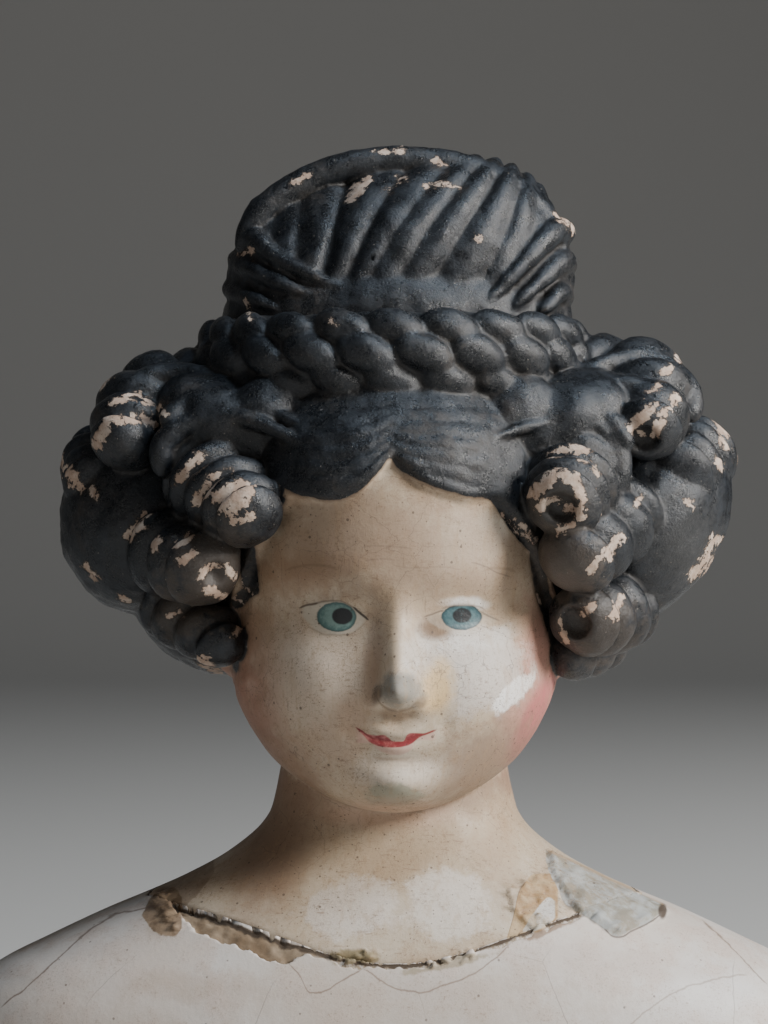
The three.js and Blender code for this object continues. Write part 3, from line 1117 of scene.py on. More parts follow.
@dataclass
class Torso:
    """The shoulders and chest, with the recess that the yoke sits in.

    Args:
        body: the neck and shoulders that it is cut out of.
        sides: number of points round the axis.
        rings: number of rings from the middle of the underside to the middle of the recess's floor.
        stations: shares of the rings at which the underside, the outside and the recess's wall end.
        front_bias: how far the points round the axis are drawn to the front.
        seam_bias: how far the rings of the outside are drawn to the joint.
        hidden_break: width of the broken edge behind, where the picture does not show it, in parts.
    """

    body: Body
    sides: int = 400
    rings: int = 210
    stations: tuple[float, float, float] = (0.1, 0.8, 0.9)
    front_bias: float = 0.4
    seam_bias: float = 1.5
    hidden_break: float = 0.5

    def seam_height(self, around: Points) -> Points:
        """Height at which the surface meets the recess's wall, at angles round the axis, in parts."""
        heights = np.linspace(20.0, 64.0, 300)
        wall = self.body.block_reach(around, self.body.gap)
        reaches = [self.body.reach(np.full_like(around, height), around) for height in heights]
        inside = np.stack(reaches) < wall
        return heights[np.argmax(inside, axis=0)]

    def build(self) -> bpy.types.Object:
        """Makes the torso's mesh."""
        body = self.body
        rim, seam, floor = self.stations

        def place(along: Points, around: Points) -> Points:
            around = around - self.front_bias * np.sin(around)
            top = self.seam_height(around)
            wall = body.block_reach(around, body.gap)
            base = body.reach(np.zeros_like(around), around)
            rise = np.clip((along - rim) / (seam - rim), 0, 1)
            height = top * (1 - (1 - rise) ** self.seam_bias)
            reach = np.minimum(body.reach(height, around), np.where(rise < 1, 1e9, wall))
            down = np.clip((along - seam) / (floor - seam), 0, 1)
            height = height + (body.seat - top) * down
            reach = np.where(along < rim, base * along / rim, reach)
            reach = np.where(along > seam, wall, reach)
            reach = np.where(along > floor, wall * (1 - along) / (1 - floor), reach)
            return np.stack((reach * np.sin(around), -reach * np.cos(around), height), axis=1)

        clay = Clay()
        clay.add(self.sides, self.rings, place)
        piece = new_piece("doll_torso", clay)
        self.wear(piece.data)
        parts = LAYOUT.to_parts(read_points(piece.data))
        write_field(piece.data, "seen", ease(-parts[:, 1], 0.0, 6.0))
        piece.data.shade_smooth()
        return piece

    def wear(self, mesh: bpy.types.Mesh) -> None:
        """Breaks the edge along the joint, and raises the loose strip and the glue."""
        parts = LAYOUT.to_parts(read_points(mesh))
        normals = read_normals(mesh)
        across, _ = VIEW.points(parts)
        around = np.arctan2(parts[:, 0], -parts[:, 1])
        out = np.hypot(parts[:, 0], parts[:, 1]) - self.body.block_reach(around, self.body.gap)
        out = out / np.clip(normals[:, 2], 0.2, 1.0)
        crumble = rough_field(parts, 0.4, 2) + 0.7 * rough_field(parts, 0.13, 2)
        width = np.where(parts[:, 1] < 0, look_up(BREAK_WIDTHS, across), self.hidden_break)
        width = width * (0.95 + 0.12 * crumble) + 0.7 * crumble
        upper = (parts[:, 2] > self.body.seat + 2) & (out > -0.05)
        broken = np.where(upper, ease(width - out, -0.4, 0.4), 0.0)
        rise = np.where(upper, joint_rise(parts) * ease(-normals[:, 1], 0.0, 0.25), 0.0)
        broken = broken * ease(rise, 0.5, 0.1)
        moved = parts + normals * rise[:, None]
        moved[:, 2] -= look_up(BREAK_DROPS, across) * broken * (1 + 0.5 * rough_field(parts, 0.5, 2))
        write_points(mesh, LAYOUT.to_frame(moved))
        write_field(mesh, "broken", broken)
        write_field(mesh, "bared", np.clip(out, 0.0, 8.0))


# Where the hair's paint has chipped off: strokes from one picture point to another, with half their width.
HAIR_CHIPS = (
    (112, 403, 138, 393, 2.0), (138, 393, 166, 415, 2.2), (97, 444, 108, 420, 4.5),
    (108, 420, 138, 417, 3.5), (138, 418, 156, 425, 2.5), (99, 385, 111, 371, 3.5),
    (59, 463, 62, 440, 3.5), (66, 470, 80, 488, 4.5), (92, 490, 95, 496, 3.0), (180, 480, 200, 456, 4.5),
    (197, 501, 213, 478, 5.0), (222, 500, 244, 488, 9.0), (228, 512, 246, 500, 5.0),
    (232, 523, 252, 515, 3.0), (226, 468, 231, 469, 2.0), (129, 537, 141, 524, 4.0),
    (143, 517, 148, 512, 2.5), (153, 551, 158, 539, 3.0), (178, 545, 190, 537, 3.0),
    (182, 560, 196, 553, 3.5), (200, 575, 215, 566, 3.0), (206, 590, 224, 596, 3.5),
    (226, 566, 236, 580, 2.5), (170, 615, 181, 612, 3.0), (203, 660, 221, 674, 3.5),
    (210, 670, 226, 678, 2.5), (86, 566, 96, 577, 3.0), (120, 596, 128, 601, 2.0),
    (533, 493, 552, 478, 5.0), (556, 474, 574, 478, 4.5), (576, 484, 584, 500, 4.0),
    (540, 507, 552, 500, 4.5), (566, 508, 580, 512, 5.0), (558, 530, 574, 527, 3.0),
    (550, 455, 570, 448, 3.0), (572, 448, 588, 453, 2.8), (594, 466, 598, 475, 2.2),
    (632, 428, 650, 408, 4.5), (652, 406, 664, 412, 3.5), (662, 420, 655, 432, 3.5),
    (640, 434, 652, 436, 3.0), (670, 407, 678, 398, 3.5), (662, 375, 670, 368, 2.5),
    (651, 393, 659, 386, 3.0), (676, 347, 682, 360, 3.0), (716, 417, 724, 447, 2.0),
    (724, 432, 729, 449, 1.8), (718, 461, 722, 469, 2.5), (739, 451, 740, 464, 1.5),
    (693, 577, 707, 557, 4.2), (706, 557, 716, 538, 3.6), (700, 572, 711, 562, 2.2),
    (606, 556, 616, 541, 5.0), (616, 541, 621, 537, 3.0), (637, 503, 640, 497, 2.0),
    (590, 572, 600, 558, 3.5), (584, 614, 591, 606, 3.0), (612, 618, 620, 600, 3.5),
    (560, 620, 566, 640, 2.0), (688, 501, 692, 505, 2.5), (349, 200, 358, 188, 4.5),
    (358, 188, 368, 180, 4.0), (387, 192, 392, 187, 2.0), (398, 179, 407, 177, 2.0),
    (425, 188, 442, 184, 2.5), (444, 184, 460, 188, 2.0), (437, 160, 446, 165, 3.0),
    (241, 254, 251, 251, 2.5), (291, 184, 310, 175, 2.0), (372, 152, 402, 150, 1.3),
    (556, 215, 566, 221, 2.5), (568, 224, 573, 231, 2.5), (476, 237, 481, 240, 2.0),
    (245, 300, 250, 318, 1.5), (330, 320, 336, 324, 1.5), (534, 592, 540, 604, 1.8),
    (508, 524, 534, 546, 1.6), (500, 514, 524, 530, 1.4), (514, 520, 536, 538, 1.2),
    (233, 596, 246, 603, 1.8), (236, 584, 252, 592, 1.6), (228, 640, 240, 628, 1.8),
    (197, 660, 216, 672, 1.6), (576, 452, 588, 462, 1.5),
)
# The lower edge of the hair over the forehead, in picture points.
FOREHEAD_LINE = (
    (275, 480), (283, 487), (300, 495), (335, 500), (360, 490), (380, 470), (390, 458), (400, 470),
    (430, 485), (470, 497), (490, 500), (510, 530), (530, 552), (540, 560),
)
STRIP_RISE = 1.3  # in parts
GLUE_RISE = 0.55
# How far the broken edge has sunk, in parts, by picture points across.
BREAK_DROPS = ((140, 0.5), (180, 1.2), (285, 1.4), (305, 0.45), (500, 0.3), (545, 0.5), (640, 0.3))
# Lumps of old glue: strokes from one picture point to another, with half their width.
GLUE = (
    (156, 896, 176, 922, 9), (340, 958, 368, 958, 5), (520, 900, 548, 882, 13), (526, 918, 540, 925, 9),
    (655, 908, 660, 914, 6), (430, 962, 470, 956, 3),
)
# Width of the broken edge along the joint, down the slope, in parts, by picture points across.
BREAK_WIDTHS = (
    (140, 0.5), (165, 1.6), (185, 4.0), (197, 6.2), (213, 5.4), (228, 6.9), (245, 5.6), (262, 6.6),
    (280, 5.9), (296, 3.4), (305, 1.5), (325, 1.1), (340, 1.8), (372, 1.3), (400, 0.8), (440, 1.0),
    (500, 1.5), (545, 1.5), (583, 0.9), (640, 0.5),
)
# Locks that are only painted on the skin at the edge of the curls.
PAINTED_LOCKS = (
    (246, 545, 251, 588, 8.5), (251, 588, 238, 602, 6.5), (222, 616, 236, 650, 7),
    (234, 645, 236, 669, 3), (536, 556, 543, 596, 7), (545, 600, 560, 650, 7), (268, 520, 280, 500, 5),
)
# The loose strip of the joint's covering that is still stuck on.
STRIP = ((546, 851), (610, 880), (664, 905), (662, 916), (618, 936), (575, 911), (553, 880))
POINTS_PER_PART = 4.7
DEEPEST_SEEN = 30.0  # nothing farther back than this shows in the front view
CLEARANCE = 0.0004  # how far off the surface a line of sight starts, in metres
LOWEST_CURL = 88.0  # height that no curl reaches below
FAR_OUTSIDE = -8.0  # stands for any place well outside a field's outline, in parts
HAIR_PAINT_RIM = 0.7  # how far the hair's paint runs past its forms, in parts

Socket = bpy.types.NodeSocket
Value = Socket | float
Colour = tuple[float, float, float]
Spot = tuple[float, float]


class Painter:
    """Builds one finish out of nodes, on places in the front view and on the object's own coordinates."""

    def __init__(self, name: str) -> None:
        """Starts a finish.

        Args:
            name: its name.
        """
        self.finish = bpy.data.materials.new(name)
        self.finish.use_nodes = True
        self.tree = self.finish.node_tree
        self.shader = self.tree.nodes["Principled BSDF"]
        self.place = self.node("ShaderNodeTexCoord").outputs["Object"]
        self.grain = self.vector("SCALE", self.place, scale=1 / LAYOUT.unit)
        self.spot = self.front_spot()

    def node(self, kind: str, **settings: object) -> bpy.types.Node:
        """Adds a node of a kind, with its settings."""
        made = self.tree.nodes.new(kind)
        for name, value in settings.items():
            setattr(made, name, value)
        return made

    def feed(self, socket: Socket, value: object) -> None:
        """Links a socket to another, or sets it to a plain value."""
        if isinstance(value, bpy.types.NodeSocket):
            self.tree.links.new(value, socket)
        else:
            socket.default_value = value

    def math(self, operation: str, *values: Value, clamp: bool = False) -> Socket:
        """Works out numbers from numbers."""
        made = self.node("ShaderNodeMath", operation=operation, use_clamp=clamp)
        for socket, value in zip(made.inputs, values):
            self.feed(socket, value)
        return made.outputs[0]

    def times(self, first: Value, second: Value) -> Socket:
        """Multiplies two numbers."""
        return self.math("MULTIPLY", first, second)

    def minus(self, first: Value, second: Value) -> Socket:
        """Takes the second number from the first."""
        return self.math("SUBTRACT", first, second)

    def scaled(self, value: Value, factor: Value, start: Value) -> Socket:
        """Multiplies a number by a factor and adds a start."""
        return self.math("MULTIPLY_ADD", value, factor, start)

    def vector(self, operation: str, *values: object, scale: Value | None = None) -> Socket:
        """Works out vectors, or a number where the operation gives one, from vectors."""
        made = self.node("ShaderNodeVectorMath", operation=operation)
        for socket, value in zip(made.inputs, values):
            self.feed(socket, value)
        if scale is not None:
            self.feed(made.inputs["Scale"], scale)
        gives_number = operation in {"DOT_PRODUCT", "LENGTH", "DISTANCE"}
        return made.outputs["Value" if gives_number else "Vector"]

    def smooth(self, value: Value, low: float, high: float, start: float = 0.0, end: float = 1.0) -> Socket:
        """Turns a number smoothly from start, at low, to end, at high."""
        flip = low > high
        made = self.node("ShaderNodeMapRange", interpolation_type="SMOOTHSTEP", clamp=True)
        ends = (high, low, end, start) if flip else (low, high, start, end)
        for socket, number in zip(made.inputs, (value, *ends)):
            self.feed(socket, number)
        return made.outputs[0]

    def noise(self, scale: float, detail: float = 3.0, rough: float = 0.55,
              place: Socket | None = None) -> Socket:
        """Gives a soft random pattern from 0 to 1.

        Args:
            scale: how many of its features fit in one part.
            detail: how many finer patterns it is made of.
            rough: how strong the finer patterns are.
            place: where it is read, if not at the object's own coordinates.
        """
        made = self.node("ShaderNodeTexNoise")
        self.feed(made.inputs["Vector"], self.grain if place is None else place)
        for name, number in (("Scale", scale), ("Detail", detail), ("Roughness", rough)):
            made.inputs[name].default_value = number
        return made.outputs["Fac"]

    def cells(self, scale: float) -> tuple[Socket, Socket]:
        """Gives how far it is to the nearest of scattered points, and that point's random number."""
        made = self.node("ShaderNodeTexVoronoi")
        self.feed(made.inputs["Vector"], self.grain)
        made.inputs["Scale"].default_value = scale
        number = self.node("ShaderNodeSeparateColor")
        self.feed(number.inputs[0], made.outputs["Color"])
        return made.outputs["Distance"], number.outputs[0]

    def kept(self, name: str) -> Socket:
        """Reads a number that the mesh keeps for each vertex."""
        made = self.node("ShaderNodeAttribute", attribute_name=name)
        return made.outputs["Fac"]

    def mix(self, share: Value, first: object, second: object) -> Socket:
        """Blends two colours."""
        made = self.node("ShaderNodeMix", data_type="RGBA", clamp_factor=True)
        self.feed(made.inputs["Factor"], share)
        for name, colour in (("A", first), ("B", second)):
            value = (*colour, 1.0) if isinstance(colour, tuple) else colour
            self.feed(next(s for s in made.inputs if s.name == name and s.type == "RGBA"), value)
        return next(s for s in made.outputs if s.type == "RGBA")

    def blend(self, share: Socket, first: Value, second: Value) -> Socket:
        """Blends two numbers."""
        made = self.node("ShaderNodeMix", data_type="FLOAT")
        for socket, value in zip((made.inputs[0], made.inputs[2], made.inputs[3]), (share, first, second)):
            self.feed(socket, value)
        return made.outputs[0]

    def bump(self, height: Socket, depth: float) -> Socket:
        """Roughens the surface by a height from 0 to 1.

        Args:
            height: the height.
            depth: how far 1 stands above 0, in parts.
        """
        made = self.node("ShaderNodeBump")
        made.inputs["Distance"].default_value = depth * LAYOUT.unit
        self.feed(made.inputs["Height"], height)
        return made.outputs["Normal"]

    def front_spot(self) -> Socket:
        """Gives the picture point of each place in the front view, as a vector."""
        parted = self.node("ShaderNodeSeparateXYZ")
        self.feed(parted.inputs[0], self.grain)
        x, y, z = parted.outputs
        shift = LAYOUT.shift / LAYOUT.unit
        depth = self.minus(y, VIEW.eye[1] + shift)
        scale = self.math("DIVIDE", VIEW.reach, depth)
        across = self.scaled(self.minus(x, VIEW.eye[0]), scale, VIEW.middle[0])
        down = self.scaled(self.minus(VIEW.eye[2], z), scale, VIEW.middle[1])
        self.across = across
        self.down = down
        spot = self.node("ShaderNodeCombineXYZ")
        self.feed(spot.inputs[0], across)
        self.feed(spot.inputs[1], down)
        return spot.outputs[0]

    def crackle(self, scale: float, width: float, twist: float) -> Socket:
        """Gives the cover of a net of fine cracks, from 0 to 1.

        Args:
            scale: how many of its cells fit in one part.
            width: the width of a crack, in parts.
            twist: how far the net is drawn out of shape, in parts.
        """
        off = self.node("ShaderNodeTexNoise")
        self.feed(off.inputs["Vector"], self.grain)
        off.inputs["Scale"].default_value = scale * 2.2
        off.inputs["Detail"].default_value = 4.0
        moved = self.vector("SUBTRACT", off.outputs["Color"], (0.5, 0.5, 0.5))
        moved = self.vector("SCALE", moved, scale=twist)
        made = self.node("ShaderNodeTexVoronoi", feature="DISTANCE_TO_EDGE")
        self.feed(made.inputs["Vector"], self.vector("ADD", self.grain, moved))
        made.inputs["Scale"].default_value = scale
        return self.smooth(made.outputs["Distance"], width * scale, 0.0)

    def streaks(self, along: Row, scale: float) -> Socket:
        """Gives a random pattern drawn out in streaks, from 0 to 1.

        Args:
            along: how many times finer it is along each axis.
            scale: how many of its features fit in one part.
        """
        return self.noise(scale, 3.0, 0.6, place=self.vector("MULTIPLY", self.grain, along))

    def specks(self, scale: float, radius: float, share: float) -> Socket:
        """Gives the cover of scattered round specks, from 0 to 1.

        Args:
            scale: how many fit in one part.
            radius: the largest speck's radius, in parts.
            share: how many of them show, from 0 to 1.
        """
        gap, number = self.cells(scale)
        size = self.smooth(number, 1 - share, 1.0, 0.0, radius * scale)
        inside = self.minus(size, gap)
        return self.smooth(inside, -0.015, 0.03)

    def patch(self, spot: Socket, middle: Spot, half: Spot, turn: float = 0.0) -> Socket:
        """Gives how far a picture point is from the middle of an oval, 1 on its edge.

        Args:
            spot: the picture point.
            middle: the oval's middle.
            half: half its width and half its height, before it is turned.
            turn: its turn, in degrees, clockwise in the picture.
        """
        angle = math.radians(turn)
        off = self.vector("SUBTRACT", spot, (*middle, 0.0))
        across = self.vector("DOT_PRODUCT", off, (math.cos(angle) / half[0], math.sin(angle) / half[0], 0.0))
        down = self.vector("DOT_PRODUCT", off, (-math.sin(angle) / half[1], math.cos(angle) / half[1], 0.0))
        square = self.scaled(across, across, self.times(down, down))
        return self.math("SQRT", square)

    def line_height(self, points: tuple[Spot, ...]) -> Socket:
        """Gives how far down a line of the front view runs, from its points from left to right."""
        table = np.array(points)
        low, high = table.min(axis=0), table.max(axis=0)
        size = np.maximum(high - low, 1e-3)
        made = self.node("ShaderNodeFloatCurve")
        curve = made.mapping.curves[0]
        places = (table - low) / size
        for point, spot in zip((curve.points[0], curve.points[1]), (places[0], places[-1])):
            point.location = spot
        for spot in places[1:-1]:
            curve.points.new(*spot)
        for point in curve.points:
            point.handle_type = "AUTO_CLAMPED"
        made.mapping.update()
        share = self.minus(self.across, float(low[0]))
        share = self.math("DIVIDE", share, float(size[0]), clamp=True)
        self.feed(made.inputs["Value"], share)
        return self.scaled(made.outputs[0], float(size[1]), float(low[1]))

    def stroke(self, points: tuple[Spot, ...], half_width: float, soft: float = 0.8, taper: float = 6.0,
               wobble: Socket | None = None) -> Socket:
        """Gives a painted line's cover, from 0 to 1.

        Args:
            points: the line's points, from left to right.
            half_width: half its width, in picture points.
            soft: over how many picture points its edge fades.
            taper: over how many picture points its ends thin out.
            wobble: a number that moves it up and down.
        """
        down = self.line_height(points)
        if wobble is not None:
            down = self.math("ADD", down, wobble)
        gap = self.math("ABSOLUTE", self.minus(self.down, down))
        start = self.smooth(self.across, points[0][0] - 1, points[0][0] + taper)
        end = self.smooth(self.across, points[-1][0] + 1, points[-1][0] - taper)
        width = self.times(self.times(start, end), half_width)
        inside = self.minus(width, gap)
        cover = self.smooth(inside, -soft, soft)
        ends = self.times(self.smooth(start, 0.0, 0.3), self.smooth(end, 0.0, 0.3))
        return self.times(cover, ends)


@dataclass
class Coat:
    """One layer of paint, as sockets: its colour, its roughness, and its height from 0 to 1.

    Args:
        painter: the finish that it belongs to.
        colour: the layer's colour.
        rough: its roughness.
        height: its height.
    """

    painter: Painter
    colour: Socket
    rough: Socket
    height: Socket

    def over(self, cover: Socket, colour: object, rough: float, raise_by: float = 0.0) -> None:
        """Covers part of the layer with another.

        Args:
            cover: the share that is covered, from 0 to 1.
            colour: the new layer's colour.
            rough: its roughness.
            raise_by: how much higher it stands.
        """
        self.colour = self.painter.mix(cover, self.colour, colour)
        self.rough = self.painter.blend(cover, self.rough, rough)
        if raise_by:
            self.height = self.painter.scaled(cover, raise_by, self.height)

    def put_on(self) -> bpy.types.Material:
        """Puts the coat on the finish's shader, and gives the finish."""
        inputs = self.painter.shader.inputs
        self.painter.feed(inputs["Base Color"], self.colour)
        self.painter.feed(inputs["Roughness"], self.rough)
        self.painter.feed(inputs["Normal"], self.painter.bump(self.height, 1.0))
        return self.painter.finish


@dataclass(frozen=True)
class OvalPatch:
    """A patch of another colour, an oval with a ragged edge in the front view.

    Args:
        middle: its middle, in picture points.
        half: half its width and height.
        turn: its turn, in degrees, clockwise.
        colour: its colour.
        cover: how strong it is, from 0 to 1.
        ragged: how uneven its edge is.
        soft: how softly it fades, as a share of its size.
        rough: its roughness.
    """

    middle: Spot
    half: Spot
    turn: float
    colour: Colour
    cover: float
    ragged: float = 1.2
    soft: float = 0.5
    rough: float = 0.6

    def lay(self, painter: Painter, coat: Coat, grain: Socket) -> None:
        """Lays the patch on a coat.

        Args:
            painter: the finish.
            coat: what it is laid on.
            grain: a random pattern round 0 that makes its edge uneven.
        """
        gap = painter.patch(painter.spot, self.middle, self.half, self.turn)
        gap = painter.scaled(grain, self.ragged, gap)
        share = painter.smooth(gap, 1 + self.soft, 1 - self.soft, 0.0, self.cover)
        share = painter.times(share, painter.kept("seen"))
        coat.over(share, self.colour, self.rough)


@dataclass(frozen=True)
class Line:
    """A thin painted line, a crack or a line of painted shadow in the front view.

    Args:
        points: the picture points that it runs through, from left to right.
        half_width: half its width, in picture points.
        colour: its colour.
        cover: how strong it is, from 0 to 1.
    """

    points: tuple[Spot, ...]
    half_width: float
    colour: Colour
    cover: float = 1.0
    soft: float = 0.9
    taper: float = 6.0

    def lay(self, painter: Painter, coat: Coat, wobble: Socket) -> None:
        """Lays the line on a coat.

        Args:
            painter: the finish.
            coat: what it is laid on.
            wobble: a number that moves it up and down, in picture points.
        """
        share = painter.stroke(self.points, self.half_width, self.soft, self.taper, wobble)
        share = painter.times(share, painter.times(painter.kept("seen"), self.cover))
        coat.over(share, self.colour, 0.6)


@dataclass(frozen=True)
class Band:
    """A patch between two lines of the front view, such as a run of glue or a strip.

    Args:
        upper: the picture points of its upper edge, from left to right.
        lower: and of its lower edge, which starts and ends as far across as the upper one.
        colours: the two colours that it is mottled with.
        cover: how strong it is, from 0 to 1.
        soft: over how many picture points its edges fade.
        ragged: how uneven its edges are, in picture points.
        rough: its roughness.
    """

    upper: tuple[Spot, ...]
    lower: tuple[Spot, ...]
    colours: tuple[Colour, Colour]
    cover: float
    soft: float = 1.0
    ragged: float = 8.0
    rough: float = 0.7

    def lay(self, painter: Painter, coat: Coat, grain: Socket) -> None:
        """Lays the patch on a coat.

        Args:
            painter: the finish.
            coat: what it is laid on.
            grain: a random pattern round 0.
        """
        down = painter.scaled(grain, self.ragged, painter.down)
        below = painter.minus(down, painter.line_height(self.upper))
        above = painter.minus(painter.line_height(self.lower), down)
        start = painter.minus(painter.across, self.upper[0][0])
        end = painter.minus(self.upper[-1][0], painter.across)
        inside = painter.math("MINIMUM", below, above)
        inside = painter.math("MINIMUM", inside, painter.math("MINIMUM", start, end))
        share = painter.smooth(inside, -self.soft, self.soft, 0.0, self.cover)
        share = painter.times(share, painter.kept("seen"))
        tone = painter.mix(painter.smooth(grain, -0.1, 0.12), *self.colours)
        coat.over(share, tone, self.rough)


# Patches on the flesh paint: stains, blush and wear, with some rows of painted shade, each marked where it
# stands.
FACE_STAINS_AND_SHADE = tuple(OvalPatch(*row) for row in (
    ((330, 536), (96, 50), -14, (0.3, 0.19, 0.115), 0.62, 2.6, 0.6),
    ((312, 566), (60, 12), -6, (0.24, 0.135, 0.07), 0.55, 2.2, 0.6),
    ((430, 553), (104, 46), 4, (0.38, 0.27, 0.19), 0.65, 2.6, 0.6),
    ((292, 575), (34, 20), 0, (0.36, 0.22, 0.13), 0.4, 1.6, 0.6),
    ((243, 695), (34, 84), -8, (0.36, 0.15, 0.1), 0.75, 0.9, 0.6),
    ((255, 640), (26, 34), 0, (0.42, 0.27, 0.17), 0.4, 1.2, 0.6),
    ((540, 690), (34, 90), 10, (0.52, 0.25, 0.2), 0.8, 0.9, 0.5),
    ((533, 718), (10, 50), 26, (0.5, 0.13, 0.135), 0.8, 1.2, 0.5),
    ((318, 676), (56, 48), 0, (0.7, 0.56, 0.44), 0.6, 1.8, 0.6),
    ((278, 768), (52, 30), 42, (0.27, 0.15, 0.095), 0.6, 1.2, 0.6),
    ((330, 742), (40, 18), 20, (0.5, 0.34, 0.24), 0.4, 1.8, 0.6),
    ((352, 715), (22, 20), 0, (0.46, 0.28, 0.17), 0.5, 1.2, 0.6),
    ((470, 672), (56, 42), -8, (0.6, 0.545, 0.49), 0.85, 1.9, 0.3, 0.7),
    ((470, 638), (44, 12), -6, (0.7, 0.67, 0.62), 0.6, 1.6, 0.4, 0.7),
    ((418, 648), (12, 24), 20, (0.72, 0.69, 0.64), 0.4, 1.8, 0.4, 0.65),
    # painted shade, with some soot, on the left side of the nose
    ((374, 650), (9, 46), 2, (0.24, 0.155, 0.1), 0.5, 0.8, 0.6),
    ((482, 766), (60, 36), -36, (0.22, 0.145, 0.1), 0.72, 1.6, 0.6),
    ((466, 604), (22, 7), 2, (0.72, 0.7, 0.66), 0.75, 0.9, 0.4, 0.7),
    ((512, 694), (26, 9), -42, (0.86, 0.83, 0.79), 0.9, 1.4, 0.2, 0.7),
    ((438, 688), (17, 26), 8, (0.66, 0.45, 0.21), 0.9, 1.6, 0.5),
    ((435, 629), (17, 11), 0, (0.16, 0.088, 0.04), 0.95, 1.8, 0.5),
    # painted shade on the lower left side of the nose
    ((370, 672), (9, 26), 4, (0.36, 0.22, 0.13), 0.5, 0.9, 0.6),
    ((400, 691), (22, 17), 0, (0.23, 0.22, 0.19), 0.85, 1.6, 0.3, 0.8),
    # painted shade under the nose's wings, and a painted shadow under its tip
    ((377, 696), (4.5, 9), 16, (0.13, 0.085, 0.055), 0.7, 0.8, 0.5),
    ((421, 702), (6, 5), -20, (0.24, 0.17, 0.1), 0.7, 0.9, 0.5),
    ((394, 715), (22, 5), 4, (0.27, 0.185, 0.12), 0.7, 1.0, 0.6),
    ((398, 771), (44, 20), 0, (0.7, 0.61, 0.51), 0.6, 1.8, 0.5),
    ((391, 795), (27, 13), 4, (0.31, 0.3, 0.225), 0.85, 2.2, 0.25, 0.8),
    ((391, 815), (60, 14), 0, (0.6, 0.33, 0.24), 0.35, 0.9, 0.6),
    # a brown stain, darkened further as painted shade on the left side of the neck
    ((274, 850), (34, 70), 22, (0.22, 0.135, 0.085), 0.8, 1.0, 0.7),
    ((498, 852), (24, 54), -12, (0.42, 0.3, 0.19), 0.6, 1.8, 0.6),
    ((420, 858), (88, 36), 0, (0.42, 0.31, 0.2), 0.7, 2.0, 0.6),
    ((352, 908), (46, 28), -8, (0.66, 0.6, 0.54), 0.6, 1.8, 0.18),
    ((446, 905), (40, 34), 12, (0.7, 0.64, 0.57), 0.6, 1.8, 0.18),
))
# The old glue and the bared layers on both sides of the joint between head and torso.
JOINT_STAINS = tuple(OvalPatch(*row) for row in (
    ((355, 958), (26, 8), 0, (0.19, 0.145, 0.06), 0.85, 2.0, 0.25, 0.6),
    ((455, 962), (50, 5), -12, (0.3, 0.24, 0.15), 0.7, 2.4, 0.25, 0.8),
    ((548, 930), (26, 4), -22, (0.22, 0.13, 0.07), 0.8, 2.2, 0.25, 0.7),
))
JOINT_BANDS = (
    Band(((150, 884), (165, 878), (190, 860), (214, 844)), ((150, 895), (166, 921), (190, 901), (214, 874)),
         ((0.2, 0.13, 0.08), (0.34, 0.24, 0.16)), 0.55, 1.2),
    Band(((142, 915), (150, 899), (158, 890), (170, 887), (182, 896)),
         ((142, 917), (152, 929), (162, 936), (173, 937), (182, 928)),
         ((0.13, 0.075, 0.035), (0.3, 0.2, 0.115)), 0.9, 1.2, 12.0),
    Band(((507, 937), (514, 914), (519, 892), (532, 876), (545, 873), (558, 872)),
         ((507, 940), (520, 938), (530, 935), (545, 928), (558, 918)),
         ((0.33, 0.19, 0.075), (0.5, 0.36, 0.2)), 0.92, 1.0, 14.0),
    Band(((523, 930), (533, 914), (541, 903), (549, 897), (555, 901)),
         ((523, 932), (532, 931.5), (540, 929), (549, 924), (555, 917)),
         ((0.58, 0.56, 0.52), (0.4, 0.34, 0.25)), 0.9),
    Band(((546, 851), (556, 855), (569, 860), (590, 870), (610, 880), (640, 893), (664, 905)),
         ((546, 862), (551, 875), (558, 888), (566, 905), (577, 912), (589, 918), (604, 928), (618, 936),
          (632, 930), (650, 921), (664, 911)),
         ((0.36, 0.37, 0.355), (0.23, 0.205, 0.155)), 0.92, 0.8, 9.0),
)
LID = (0.1, 0.062, 0.04)
